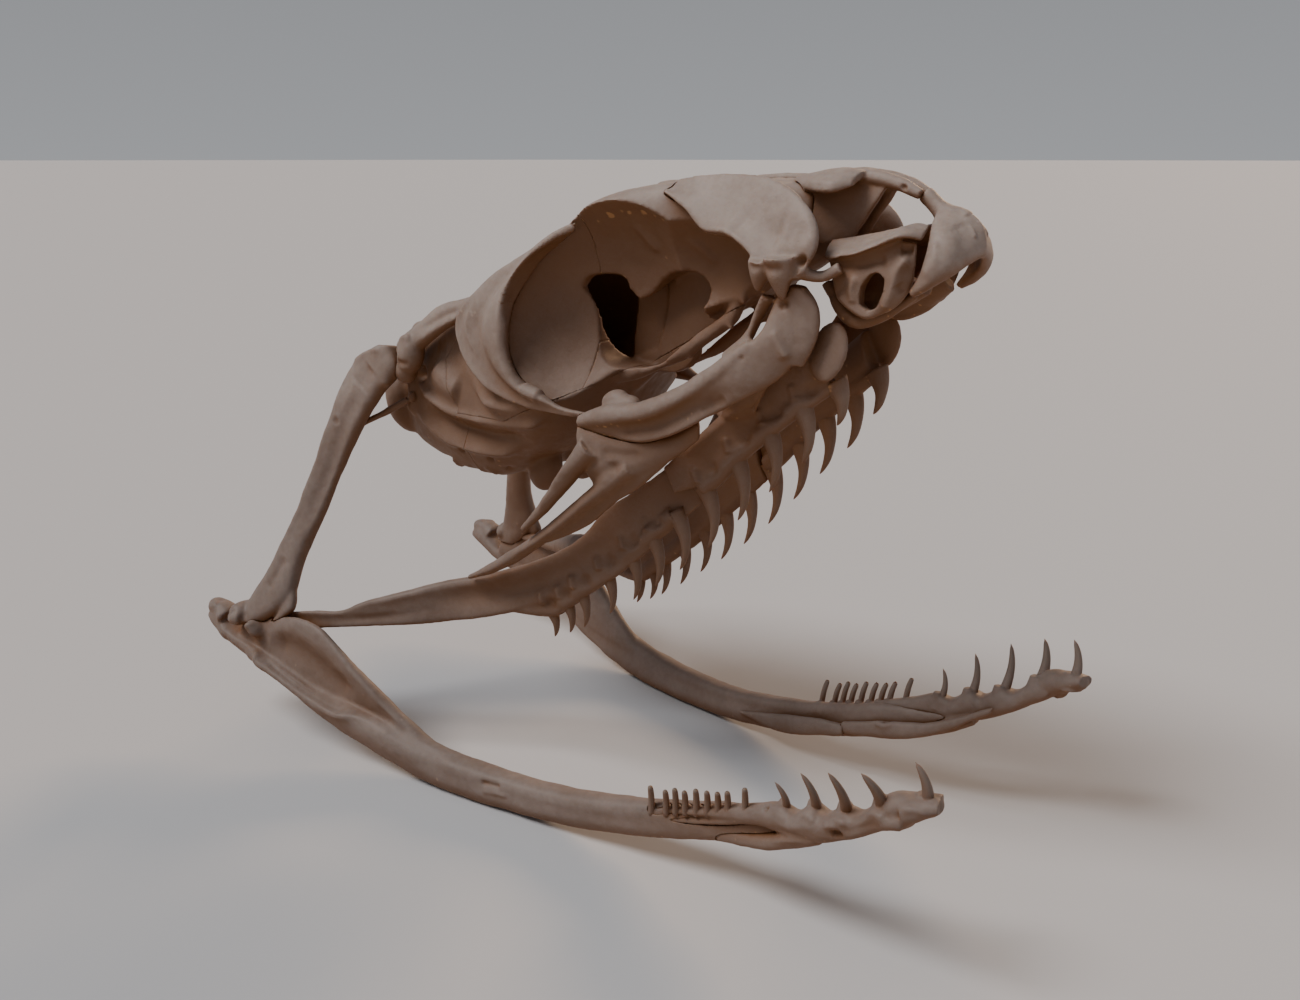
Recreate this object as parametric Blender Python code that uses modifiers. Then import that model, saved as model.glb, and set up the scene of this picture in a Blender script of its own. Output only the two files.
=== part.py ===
"""A life-size snake skull with its jaws open, each bone a solid of its own.

Shapes are worked out in millimetres and scaled to metres at the end.
X runs forward to the snout, Y to the animal's left and Z up. Paired bones are
drawn once, on the left (+Y), and mirrored. While it is drawn, X starts below
the middle of the braincase. At the end the skull is moved so that the origin
is halfway along it, on the surface that both halves of the lower jaw lie on.
"""
import bpy
import bmesh
import numpy as np
from math import cos, pi, radians, sin
from mathutils import Matrix, Vector

MILLIMETRE = 0.001
GAP = 0.3                 # clearance between two neighbouring bones
VOXEL = 0.36              # grain at which the pieces of one bone are fused

# Driving dimensions of the skull, in millimetres
JAW_SPREAD = 24.0         # middle plane to the jaw joint
JAW_FLOOR = 0.0           # level that the lower jaw rests on
BRAINCASE_HALF = 11.8     # half width at the crests behind the eyes
ROOF_HALF = 6.8           # half width of the frontals over the eyes
ORBIT_CENTRE = (11.8, 15.6, 57.6)
ORBIT_RADII = (16.2, 12.4, 13.4)
ORBIT_FRONT = ((20.5, 14.5, 61.4), (10.5, 11.6, 7.8))
ORBIT_FLOOR = ((14.0, 13.5, 50.8), (10.5, 9.6, 6.6))
HALFWAY = 2.61            # middle of the skull's length, where X starts at the end
PEG_RADIUS = 0.36         # the small teeth behind on the lower jaw
FLAT_ANGLE = 5.0          # faces that bend less than this, in degrees, become one

# The hooked teeth in front on the lower jaw: root's x and z, tip, radius
HOOKS = [(38.1, 13.2, 37.9, 17.3, 15.9, 0.62), (41.7, 14.6, 41.3, 18.2, 18.4, 0.75),
         (45.1, 15.8, 44.9, 19.4, 20.2, 0.8), (49.0, 18.0, 48.5, 19.9, 21.6, 0.9),
         (53.0, 19.6, 52.5, 17.8, 23.2, 0.78)]

BONE_COLOUR = (0.42, 0.33, 0.27, 1.0)
TOOTH_BEARING = (0.44, 0.35, 0.29, 1.0)


def clear_scene():
    for item in list(bpy.data.objects):
        bpy.data.objects.remove(item, do_unlink=True)


def collection(name):
    group = bpy.data.collections.new(name)
    bpy.context.scene.collection.children.link(group)
    return group


def material(name, colour):
    mat = bpy.data.materials.new(name)
    mat.use_nodes = True
    shader = mat.node_tree.nodes["Principled BSDF"]
    shader.inputs["Base Color"].default_value = colour
    shader.inputs["Roughness"].default_value = 0.62
    shader.inputs["Metallic"].default_value = 0.0
    return mat


def smooth_through(points, count):
    """A smooth curve through the points, sampled at count places."""
    p = np.array(points, float)
    if p.ndim == 1:
        p = p[:, None]
    ends = np.vstack([2 * p[0] - p[1], p, 2 * p[-1] - p[-2]])
    t = np.linspace(0, len(p) - 1, count)
    i = np.minimum(t.astype(int), len(p) - 2)
    u = (t - i)[:, None]
    a, b, c, d = ends[i], ends[i + 1], ends[i + 2], ends[i + 3]
    return 0.5 * (2 * b + (c - a) * u + (2 * a - 5 * b + 4 * c - d) * u**2
                  + (3 * b - a - 3 * c + d) * u**3)


def skin(rings):
    """A closed mesh over a row of rings, with both ends filled."""
    bm = bmesh.new()
    rows = [[bm.verts.new(p) for p in ring] for ring in rings]
    for first, second in zip(rows, rows[1:]):
        for k in range(len(first)):
            j = (k + 1) % len(first)
            bm.faces.new((first[k], first[j], second[j], second[k]))
    bm.faces.new(rows[0])
    bm.faces.new(list(reversed(rows[-1])))
    bmesh.ops.triangulate(bm, faces=[f for f in bm.faces if len(f.verts) > 4])
    bmesh.ops.recalc_face_normals(bm, faces=bm.faces)
    return bm


def unit(v):
    return v / max(np.linalg.norm(v), 1e-9)


def blade(edge_a, edge_b, thick, rows=18, sides=14, camber=0.0):
    """A strap of bone between two edge curves, lens shaped across.

    thick is one value or a list along the strap; camber bows it sideways."""
    a = smooth_through(edge_a, rows)
    b = smooth_through(edge_b, rows)
    t = smooth_through(np.atleast_1d(thick).repeat(2) if np.ndim(thick) == 0 else thick, rows)
    bow = smooth_through([camber] * 2 if np.ndim(camber) == 0 else camber, rows)
    middle = (a + b) / 2
    along = np.gradient(middle, axis=0)
    rings = []
    for k in range(rows):
        half = (b[k] - a[k]) / 2
        normal = unit(np.cross(along[k], half))
        ring = []
        for s in range(sides):
            c, n = cos(2 * pi * s / sides), sin(2 * pi * s / sides)
            lift = n * abs(n) ** -0.3 * t[k, 0] / 2 if n else 0.0
            ring.append(middle[k] + c * half + normal * (lift + bow[k, 0] * (1 - c * c)))
        rings.append(ring)
    return skin(rings)


def rod(path, radii, rows=14, sides=10, flatten=1.0, up=(0, 0, 1)):
    """A tapering round or flattened bar along a smooth path."""
    p = smooth_through(path, rows)
    r = smooth_through(radii, rows)[:, 0]
    along = np.gradient(p, axis=0)
    rings = []
    for k in range(rows):
        side = unit(np.cross(np.array(up, float), along[k]))
        top = unit(np.cross(along[k], side))
        rings.append([p[k] + r[k] * (cos(2 * pi * s / sides) * side
                                     + flatten * sin(2 * pi * s / sides) * top)
                      for s in range(sides)])
    return skin(rings)


def ball(centre, radii, turn=(0, 0, 0), detail=3):
    """An ellipsoid, turned about X, Y and Z in degrees."""
    bm = bmesh.new()
    bmesh.ops.create_icosphere(bm, subdivisions=detail, radius=1.0)
    spin = Matrix.Identity(4)
    for angle, axis in zip(turn, "XYZ"):
        spin = Matrix.Rotation(radians(angle), 4, axis) @ spin
    size = Matrix.Diagonal((*radii, 1.0))
    bm.transform(Matrix.Translation(centre) @ spin @ size)
    return bm


def oval_rings(stations, rows, sides=28):
    """Cross sections of the braincase. Each station is (x, half width, top z,
    widest z, bottom z, squareness above, squareness below, flatness of the top)."""
    rings = []
    for x, half, top, mid, low, above, below, flat in smooth_through(stations, rows):
        ring = []
        for k in range(sides):
            c, n = cos(2 * pi * k / sides), sin(2 * pi * k / sides)
            y = half * np.sign(c) * abs(c) ** (above if n > 0 else below)
            z = mid + ((top - mid) * n**flat if n > 0 else (mid - low) * n)
            ring.append((x, y, z))
        rings.append(ring)
    return rings


def tooth(root, tip, width, sweep, sides=6, rows=4, point=0.16):
    """A curved cone whose root is sunk in the jaw; sweep bows it forward."""
    root, tip = np.array(root, float), np.array(tip, float)
    middle = (root + tip) / 2 + np.array(sweep, float)
    path = [root, middle, tip]
    radii = [width, (width + point) / 2 + 0.1 * width, point]
    return rod(path, radii, rows=rows, sides=sides, up=(0, 1, 0))


def to_object(bm, name, group):
    mesh = bpy.data.meshes.new(name)
    bm.to_mesh(mesh)
    bm.free()
    item = bpy.data.objects.new(name, mesh)
    group.objects.link(item)
    return item


def bake(item):
    """Replace an object's mesh by its shape with all modifiers applied."""
    graph = bpy.context.evaluated_depsgraph_get()
    mesh = bpy.data.meshes.new_from_object(item.evaluated_get(graph))
    item.modifiers.clear()
    item.data = mesh
    return item


def keep_largest(item):
    """Drop every loose scrap but the largest closed surface."""
    bm = bmesh.new()
    bm.from_mesh(item.data)
    bmesh.ops.remove_doubles(bm, verts=bm.verts, dist=0.002)
    bmesh.ops.dissolve_degenerate(bm, edges=bm.edges, dist=0.002)
    bmesh.ops.triangulate(bm, faces=bm.faces)
    left = set(bm.verts)
    islands = []
    while left:
        seed = left.pop()
        island = {seed}
        front = [seed]
        while front:
            for edge in front.pop().link_edges:
                for vert in edge.verts:
                    if vert in left:
                        left.discard(vert)
                        island.add(vert)
                        front.append(vert)
        islands.append(island)
    islands.sort(key=surface_area)
    for island in islands[:-1]:
        bmesh.ops.delete(bm, geom=list(island), context="VERTS")
    bm.to_mesh(item.data)
    bm.free()
    return item


def surface_area(island):
    faces = {face for vert in island for face in vert.link_faces}
    return sum(face.calc_area() for face in faces)


def fuse(name, pieces, group, triangles, voxel=VOXEL, polish=4):
    """Join the pieces of one bone into one closed, smooth, light mesh."""
    bm = bmesh.new()
    for piece in pieces:
        mesh = bpy.data.meshes.new("piece")
        piece.to_mesh(mesh)
        piece.free()
        bm.from_mesh(mesh)
        bpy.data.meshes.remove(mesh)
    item = to_object(bm, name, group)
    remesh = item.modifiers.new("fuse", "REMESH")
    remesh.mode = "VOXEL"
    remesh.voxel_size = voxel
    soften = item.modifiers.new("soften", "SMOOTH")
    soften.factor = 0.5
    soften.iterations = polish
    bake(item)
    return lighten(keep_largest(item), triangles)


def lighten(item, triangles):
    thin = item.modifiers.new("lighten", "DECIMATE")
    thin.ratio = min(1.0, triangles / max(len(item.data.polygons), 1))
    bake(item)
    return keep_largest(item)


def merge_flat(item):
    """Merge the faces that lie almost in one plane, as the cuts leave many,
    unless that would open the mesh."""
    before = item.data.copy()
    flat = item.modifiers.new("flat", "DECIMATE")
    flat.decimate_type = "DISSOLVE"
    flat.angle_limit = radians(FLAT_ANGLE)
    bake(item)
    keep_largest(item)
    if not closed(item):
        item.data = before
    return item


def closed(item):
    bm = bmesh.new()
    bm.from_mesh(item.data)
    whole = all(len(edge.link_faces) == 2 for edge in bm.edges)
    bm.free()
    return whole


def boolean(item, tool, operation, solver="EXACT"):
    cut = item.modifiers.new("cut", "BOOLEAN")
    cut.operation = operation
    cut.solver = solver
    cut.object = tool
    bake(item)
    return keep_largest(item)


def inflated(item, distance, side=1):
    """A copy of a bone grown outward by the distance, used as a cutter. With
    side -1 it stands for the bone's partner on the right."""
    bm = bmesh.new()
    bm.from_mesh(item.data)
    bm.normal_update()
    offsets = [v.normal * distance for v in bm.verts]
    for vert, offset in zip(bm.verts, offsets):
        vert.co += offset
    if side < 0:
        mirror(bm)
    copy = to_object(bm, "cutter_" + item.name, bpy.data.collections["cutters"])
    copy.hide_render = True
    copy.display_type = "WIRE"
    return copy


def stand_clear(item, neighbours, sides=(1,), solver="EXACT"):
    """Cut a bone back so that it meets its neighbours with the usual gap. A
    bone on the middle plane has them on both sides."""
    for neighbour in neighbours:
        for side in sides:
            tool = inflated(neighbour, GAP, side)
            boolean(item, tool, "DIFFERENCE", solver)
            bpy.data.objects.remove(tool, do_unlink=True)
    return item


def cut_with(item, shapes, operation="DIFFERENCE", solver="EXACT"):
    for shape in shapes:
        tool = to_object(shape, "cutter", bpy.data.collections["cutters"])
        boolean(item, tool, operation, solver)
        bpy.data.objects.remove(tool, do_unlink=True)
    return item


def add_teeth(item, teeth):
    """Fuse a row of teeth to a bone with one union."""
    group = bpy.data.collections.new("row of teeth")
    bpy.context.scene.collection.children.link(group)
    for k, bm in enumerate(teeth):
        to_object(bm, "tooth_%d" % k, group)
    join = item.modifiers.new("teeth", "BOOLEAN")
    join.operation = "UNION"
    join.solver = "EXACT"
    join.operand_type = "COLLECTION"
    join.collection = group
    bake(item)
    for one in list(group.objects):
        bpy.data.objects.remove(one, do_unlink=True)
    bpy.data.collections.remove(group)
    return keep_largest(item)


def mirror(bm):
    bm.transform(Matrix.Diagonal((1.0, -1.0, 1.0, 1.0)))
    bmesh.ops.reverse_faces(bm, faces=bm.faces)


def mirrored(item, name, group):
    """The same bone on the animal's right side."""
    bm = bmesh.new()
    bm.from_mesh(item.data)
    mirror(bm)
    return to_object(bm, name, group)


def jaw_y(x):
    """How far the lower jaw stands out from the middle plane at x."""
    at = [-50, -38, -30.6, -23.7, -15.6, -7.8, 0, 7.3, 14.2, 20.9, 27.2, 33.5, 40, 45.8, 51, 54.5]
    out = [24, 24.5, 23.9, 21.8, 20.4, 19.2, 18.3, 17.4, 16.5, 15.9, 15.5, 15.4, 15.9, 16.5, 17, 16.2]
    return float(np.interp(x, at, out)) * JAW_SPREAD / 24.0


def jaw_top_y(x):
    """The same for the upper edge, which leans out behind."""
    at = [-50, -46, -38, -28, -23, -16.7, -11.7, -7.6, -2.1, 3.6, 9.2, 14.8, 20, 27.2, 54.5]
    out = [24, 24, 23.7, 23.4, 23, 21.9, 21.4, 20.3, 19, 18, 17.2, 16.7, 16.1, 15.2, 15.2]
    return float(np.interp(x, at, out)) * JAW_SPREAD / 24.0


def jaw_edge(pairs, inward=0.0, line=jaw_y):
    return [(x, line(x) - inward, z) for x, z in pairs]


def compound_bone(group):
    lower = [(-49.6, 12.9), (-47, 11.9), (-43, 10.3), (-38, 9.0), (-31, 6.9), (-24, 3.7), (-15.6, 1.2),
             (-7.8, -0.2), (0, -0.3), (7.3, 0.2), (14.2, 1.3), (21, 2.8), (27.2, 4.6), (34, 6.9), (41, 10.6)]
    lip = [(-49.4, 14.2), (-47, 15.0), (-43, 12.8), (-38, 11.4), (-31, 9.3), (-24, 7.4), (-15.6, 6.6),
           (-7.8, 5.0), (0, 4.5), (7.3, 4.7), (14.2, 5.7), (21, 7.2), (27.2, 9.0), (33, 10.7), (41, 11.6)]
    body = blade(jaw_edge(lower, 0.3), jaw_edge(lip, 0.1, jaw_top_y),
                 [2.6, 3.8, 4.6, 3.8, 3.3, 3.4, 3.8, 4.0, 4.0, 3.8, 3.5, 2.9, 2.3, 1.9, 1.0], rows=44)
    crest_low = [(-42, 11), (-36, 9.5), (-29, 7), (-22, 5), (-15, 4), (-9, 3.5)]
    crest_top = [(-42, 14.2), (-37, 15.4), (-31.5, 16.4), (-27, 16.2), (-22.6, 13.3), (-17.8, 9.6),
                 (-12, 6.5)]
    crest = blade(jaw_edge(crest_low, 0.8), jaw_edge(crest_top, 0.5, jaw_top_y),
                  [3.2, 2.2, 1.8, 1.8, 2.2, 2.4], rows=24)
    cup_rear = ball((-46.4, 24.0, 14.0), (3.0, 2.6, 1.9), (0, -8, 0))
    cup_front = ball((-38.6, 23.6, 13.4), (2.2, 2.4, 2.2))
    bone = fuse("compound", [body, crest, cup_rear, cup_front], group, 500)
    cup = ball((-42.2, 23.6, 16.4), (3.1, 4.2, 2.9), detail=2)
    under_floor = box((-60, 0, JAW_FLOOR - 10), (60, 40, JAW_FLOOR))
    return cut_with(bone, [cup, under_floor])


def dentary(group):
    top = [(20.2, 6.5), (25, 7.9), (30, 9.8), (35, 12.0), *hook_margin(), (54.5, 20.2)]
    low_x, low_z = (20.2, 25, 30, 35, 40, 43.5, 47, 51, 54.5), (5.9, 6.9, 8.2, 10.0, 10.4, 11.5, 13.4, 16.2, 18.6)
    low = [(x, float(np.interp(x, low_x, low_z))) for x, z in top]
    upper = blade(jaw_edge(low, -0.3), jaw_edge(top, -0.5),
                  [0.9, 1.5, 1.9, 2.4, 3.0, 3.1, 3.2, 3.3, 3.4, 3.2, 2.2], rows=56)
    under_top = [(32, 7.4), (36, 9.0), (40, 11.5), (43, 13)]
    under_low = [(32, 5.7), (36, 7.2), (40, 9.1), (43, 10.9)]
    under = blade(jaw_edge(under_low), jaw_edge(under_top), [1.2, 2.2, 3.0, 3.2], rows=14)
    return fuse("dentary", [upper, under], group, 480)


def hook_margin():
    """Upper edge of the dentary's front: a rise at each tooth, a dip between."""
    line = []
    for one, two in zip(HOOKS, HOOKS[1:]):
        line.append((one[0], one[1] + 0.1))
        line.append((one[0] + 0.45 * (two[0] - one[0]), 0.6 * one[1] + 0.4 * two[1] - 0.7))
    return line + [(51.4, 19.4), (HOOKS[-1][0], HOOKS[-1][1] + 0.3)]


def dentary_teeth():
    """Nine upright pegs behind, then five larger teeth hooked backward."""
    teeth = []
    pegs = [22.1, 24.0, 25.2, 26.4, 27.8, 29.2, 30.5, 31.7, 33.8]
    for k, x in enumerate(pegs):
        y = jaw_y(x) + 0.8
        base = 7.0 + 0.34 * (x - pegs[0])
        tall = 2.8 if k == 0 else 2.4
        teeth.append(tooth((x, y, base - 0.7), (x + 0.4, y + 0.7, base + tall), PEG_RADIUS,
                           (0, 0, 0), sides=5, rows=2, point=0.22))
    for base_x, base_z, x, y, z, radius in HOOKS:
        root = (base_x, jaw_y(base_x) - 0.1, base_z - 1.6)
        teeth.append(tooth(root, (x, y, z), radius, (0.5, 0, -0.1), rows=3))
    return teeth


def splenial(group):
    top = [(27, 7.3), (33, 9.2), (39, 10.9), (45, 14.2)]
    low = [(27, 5.6), (33, 6.8), (39, 9.1), (45, 13.2)]
    return fuse("splenial", [blade(jaw_edge(low, 1.9), jaw_edge(top, 1.9), 1.6, rows=14)],
                group, 110, voxel=0.3, polish=2)


def angular(group):
    top = [(12, 3.7), (18, 5.2), (23, 6.4), (27.4, 6.9)]
    low = [(12, 2.6), (18, 2.6), (23, 3.9), (27.4, 5.4)]
    return fuse("angular", [blade(jaw_edge(low, 2.1), jaw_edge(top, 2.1), 1.6, rows=14)],
                group, 110, voxel=0.3, polish=2)


def quadrate(group):
    rear = [(-24.4, 12.3, 51.0), (-27.6, 12.6, 49.0), (-29.4, 13.6, 46.6), (-31.0, 15, 42.5),
            (-32.6, 16.3, 37.3), (-35.2, 18.5, 29.4), (-38.0, 20.5, 22.8), (-41.0, 22.6, 17.6),
            (-43.4, 23.8, 14.2)]
    front = [(-22.4, 12.2, 51.2), (-21.4, 12.6, 48.2), (-23.6, 13.8, 45.2), (-26.2, 15, 41.1),
             (-28.8, 16.2, 35.9), (-31.4, 18.5, 28.7), (-33.0, 20.2, 24.0), (-34.6, 22.2, 18.6),
             (-38.6, 23.4, 13.9)]
    shaft = blade(rear, front, [2.2, 3.2, 3.2, 3.0, 2.9, 3.0, 3.2, 3.6, 4.4], rows=30)
    foot = ball((-41.0, 23.6, 15.4), (2.3, 3.0, 2.2))
    return fuse("quadrate", [shaft, foot], group, 280)


def stapes(group):
    shaft = rod([(-27.8, 14.1, 40.9), (-25.4, 12.5, 42.2), (-22.4, 10.4, 44.2)], [0.42, 0.4, 0.45],
                rows=6, sides=6)
    plate = ball((-22.2, 10.2, 44.4), (0.9, 1.2, 1.2), detail=2)
    return fuse("stapes", [shaft, plate], group, 60, voxel=0.22, polish=1)


def supratemporal(group):
    upper = [(-21.4, 10.6, 52.0), (-18, 10.4, 54.4), (-15, 10.2, 56.4), (-10.5, 9.8, 57.6),
             (-7.0, 9.0, 58.8)]
    lower = [(-21.2, 12.0, 49.6), (-17.6, 11.9, 51.4), (-14, 11.6, 53.6), (-11.0, 11.2, 55.0),
             (-7.4, 10.0, 57.2)]
    strap = blade(lower, upper, [2.6, 2.2, 1.8, 1.6, 0.9], rows=18)
    knob = ball((-19.6, 11.8, 50.4), (1.7, 1.6, 2.6), (0, 18, 0))
    heel = ball((-20.8, 11.6, 48.2), (1.4, 1.4, 1.7), (0, 10, 0))
    return fuse("supratemporal", [strap, knob, heel], group, 220)


def pterygoid(group):
    top = [(-36.6, 22.8, 16.5), (-31.0, 21.2, 17.5), (-26.6, 19.6, 18.1), (-23.4, 18.0, 19.6),
           (-18.6, 15.2, 21.4), (-14, 12.4, 23.0), (-8, 10, 24.8), (-1, 8.8, 27.8), (4.6, 8.2, 31.1),
           (11.2, 7.2, 36.8), (17.2, 6.9, 41.8)]
    low = [(-36.4, 22.8, 15.2), (-31.0, 21.4, 15.5), (-26.8, 19.8, 16.0), (-23.6, 18.2, 16.4), (-19, 15.4, 16.8),
           (-14.6, 12.6, 17.5), (-8.6, 10.4, 19.0), (-1.8, 8.6, 21.6), (3.4, 8.0, 23.8), (9.4, 7.2, 27.6),
           (18.6, 6.4, 36.4)]
    body = blade(top, low, [1.1, 1.4, 1.7, 2.1, 2.3, 2.4, 2.6, 2.5, 2.4, 2.2, 2.0], rows=40, camber=-0.5)
    ridge = rod([(-7.0, 9.6, 20.6), *[palatal_root(k, 0.96) for k in range(11, 4, -1)]],
                [0.7, 1.0, 1.1, 1.15, 1.15, 1.1, 1.1, 1.0], rows=22)
    return fuse("pterygoid", [body, ridge], group, 420)


def palatine(group):
    top = [(17.9, 6.8, 42.7), (21.5, 6.4, 46.6), (24.5, 6.0, 49.4), (28.8, 5.2, 52.8), (32.8, 5.0, 56.2)]
    low = [(19.4, 6.3, 37.6), (22.4, 6.0, 40.6), (26.2, 5.5, 44.2), (30.4, 4.9, 48.2), (34.4, 4.2, 52.0)]
    body = blade(top, low, [2.0, 2.2, 2.2, 2.2, 2.2], rows=22, camber=-0.4)
    ridge = rod([palatal_root(k, 0.96) for k in range(4, -1, -1)], [1.2, 1.2, 1.2, 1.1, 0.8], rows=16)
    lobe = ball((34.9, 5.4, 55.4), (1.6, 1.0, 2.9), (8, 12, 0))
    inner = blade([(20.5, 4.6, 47.6), (24.5, 3.0, 50.8), (28.6, 2.6, 54.4)],
                  [(23.0, 5.6, 46.4), (27.0, 4.8, 49.4), (30.6, 4.4, 52.8)], 1.1, rows=12)
    process = blade([(23, 6.6, 48.0), (25, 8.0, 51.0), (27.6, 8.4, 53.6)],
                    [(26.4, 6.0, 47.4), (28.4, 7.4, 50.2), (30.0, 8.0, 52.6)], 1.2, rows=8)
    return fuse("palatine", [body, ridge, lobe, inner, process], group, 400)


def palatal_tips():
    """Tips of the palatal teeth and the teeth's lengths, from the snout back."""
    tips = smooth_through([(34.8, 3.5, 47.8), (31.1, 4.4, 43.2), (27.2, 4.9, 39.4), (23.3, 5.4, 35.4),
                           (19.4, 5.8, 31.5), (15.5, 6.1, 28.2), (12.0, 6.2, 25.6), (8.5, 6.4, 23.0),
                           (4.4, 7.1, 20.2), (2.0, 7.4, 18.8), (-0.6, 7.6, 17.6)], 12)
    lengths = smooth_through([4.4, 6.4, 7.0, 7.2, 7.0, 6.6, 6.2, 5.6, 5.0, 4.4, 3.8], 12)[:, 0]
    return tips, lengths


def palatal_root(k, share=1.0):
    """Where a palatal tooth grows from the jaw."""
    tips, lengths = palatal_tips()
    x, y, z = tips[k]
    return (x - 0.05 * lengths[k] * share, y + 0.5 * share, z + lengths[k] * share)


def palatal_teeth(first, last):
    """Hooked teeth along the palate, numbered from the snout back."""
    tips, lengths = palatal_tips()
    return [tooth(palatal_root(k), tips[k], 1.15 - 0.035 * k, (0.22 * lengths[k], 0, 0))
            for k in range(first, last)]


def maxilla(group):
    top = [(8.6, 12.5, 46.2), (13, 12.5, 48.0), (16.8, 12.2, 48.9), (20.3, 11.6, 50.2), (23.6, 11, 52.3),
           (26.6, 10.2, 54.6), (29.4, 9.2, 57.2), (30.6, 8.4, 60.4)]
    low = [(8.8, 12.2, 45.0), (13, 12, 44.2), (16.8, 11.7, 44.2), (20.3, 11.2, 45.9), (23.6, 10.6, 48.0),
           (27.0, 9.6, 49.9), (31.4, 7.8, 53.0), (34.0, 7.0, 57.4)]
    plate = blade(top, low, [1.4, 2.0, 2.0, 2.0, 2.0, 2.0, 1.9, 1.5], rows=26)
    rim = rod([(9.4, 12.6, 45.9), (13, 12.5, 47.1), (17, 12.2, 47.9), (21, 11.5, 49.7), (25, 10.6, 52.5),
               (28.6, 9.5, 55.6)], [0.9, 1.2, 1.25, 1.25, 1.15, 0.8])
    front = blade([(29.4, 8.8, 56.5), (30.4, 8.2, 59.5), (31.2, 7.8, 61.2)],
                  [(33.4, 6.8, 54.6), (34.5, 6.8, 57.4), (34.0, 7.2, 60.4)], 1.5, rows=8)
    knob = ball((12.9, 11.2, 48.4), (2.3, 1.5, 1.6), (0, -20, 0))
    return fuse("maxilla", [plate, rim, front, knob], group, 330)


def ectopterygoid(group):
    head = blade([(8.6, 12.6, 44.6), (12, 12.2, 44.2), (16, 11.4, 44.4), (19.5, 10.6, 45.8), (22.6, 9.8, 47.6)],
                 [(8.8, 11.8, 40.8), (12.4, 11.2, 39.2), (16.4, 10.4, 41.2), (19.6, 9.8, 43.4),
                  (22.2, 9.2, 45.6)], [1.8, 2.4, 2.2, 1.8, 1.2], rows=14)
    inner_bar = rod([(-10.0, 12.2, 24.4), (-6.4, 12.0, 26.2), (-2.0, 11.8, 28.9), (4.0, 11.6, 33.0),
                     (10.8, 11.3, 38.6), (15, 11.0, 42.0)], [0.5, 0.85, 1.15, 1.25, 1.5, 1.6], flatten=0.7)
    outer_bar = rod([(0.4, 13.2, 32.7), (4.9, 13.1, 36.9), (8.1, 12.9, 40.6), (10.6, 12.4, 43.0)],
                    [0.5, 0.9, 1.25, 1.6], flatten=0.8)
    return fuse("ectopterygoid", [head, inner_bar, outer_bar], group, 320)


def braincase_whole(group):
    """Roof, walls and floor of the braincase in one piece, before it is
    parted along its sutures."""
    wide = BRAINCASE_HALF
    stations = [(-30.0, 4.0, 49.6, 45.2, 40.6, 0.8, 0.7, 1.0), (-27.4, 7.4, 52.8, 45.4, 37.8, 0.7, 0.6, 1.0),
                (-23, 9.4, 54.8, 45.3, 36.4, 0.5, 0.5, 1.0), (-17, 10.2, 56.8, 45, 35.5, 0.45, 0.5, 1.0),
                (-10.5, 10.4, 59.6, 45.5, 34.9, 0.45, 0.5, 1.0), (-5, wide, 62.6, 48, 36.4, 0.55, 0.55, 0.9),
                (-1, wide + 1.1, 65.6, 50, 39.6, 0.75, 0.6, 0.8), (3, wide + 0.8, 67.3, 51.5, 43.2, 0.55, 0.8, 0.7),
                (6.5, wide - 0.2, 68.8, 54, 48.2, 0.35, 1.2, 0.4), (10, 10.2, 69.9, 57, 51.2, 0.3, 1.3, 0.3),
                (15, 8.2, 70.6, 61, 54.4, 0.25, 1.2, 0.3), (19, ROOF_HALF, 70.8, 63, 56.8, 0.25, 1.0, 0.35),
                (23, ROOF_HALF - 0.7, 70.9, 65, 59.0, 0.25, 0.9, 0.4),
                (28, ROOF_HALF - 1.5, 70.8, 66, 61.6, 0.3, 0.8, 0.5), (31, 3.8, 70.4, 66.6, 63.4, 0.4, 0.8, 0.7)]
    shell = skin(oval_rings(stations, 60, sides=36))
    process = [ball((-5.6, side * 3.4, 36.8), (2.2, 1.8, 2.9), (0, 25, 0)) for side in (1, -1)]
    rostrum = rod([(-3, 0, 43.4), (4, 0, 48.4), (12, 0, 53.8), (20, 0, 58.8), (27, 0, 62.2)],
                  [3.4, 2.1, 1.6, 1.4, 1.0])
    condyle = ball((-29.8, 0, 43.8), (2.0, 2.4, 2.0))
    flanks = [ball((-27.0, side * 6.4, 43.4), (3.2, 3.0, 4.6), (0, -15, 0)) for side in (1, -1)]
    whole = fuse("braincase", [shell, *process, *flanks, rostrum, condyle], group, 1700, polish=5)
    return cut_with(whole, [*sockets(), *optic_windows(), cavity()])


def cavity():
    """The hollow for the brain, as far as the optic windows show it."""
    stations = [(-11, 2.6, 56.0, 52.5, 49.0, 1, 1, 1), (-8, 5.2, 59.0, 53.5, 47.6, 1, 1, 1),
                (-2, 6.0, 62.0, 55.5, 49.2, 1, 1, 1), (4, 4.2, 64.6, 57.5, 51.0, 1, 1, 1),
                (8, 2.9, 65.0, 59.0, 52.6, 1, 1, 1), (10.4, 2.2, 63.4, 58.6, 54.0, 1, 1, 1)]
    return skin(oval_rings(stations, 12, sides=14))


def sockets():
    """The two eye sockets: the round of the eye, with room before and below it."""
    return [ball((x, side * y, z), radii) for side in (1, -1)
            for (x, y, z), radii in ((ORBIT_CENTRE, ORBIT_RADII), ORBIT_FRONT, ORBIT_FLOOR)]


def prism(outline, near, far):
    """A smooth outline in the X-Z plane, carried through from near to far in Y."""
    points = smooth_through(outline + outline[:1], len(outline) * 2)[:-1]
    return skin([[(x, y, z) for x, z in points] for y in (near, far)])


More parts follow.
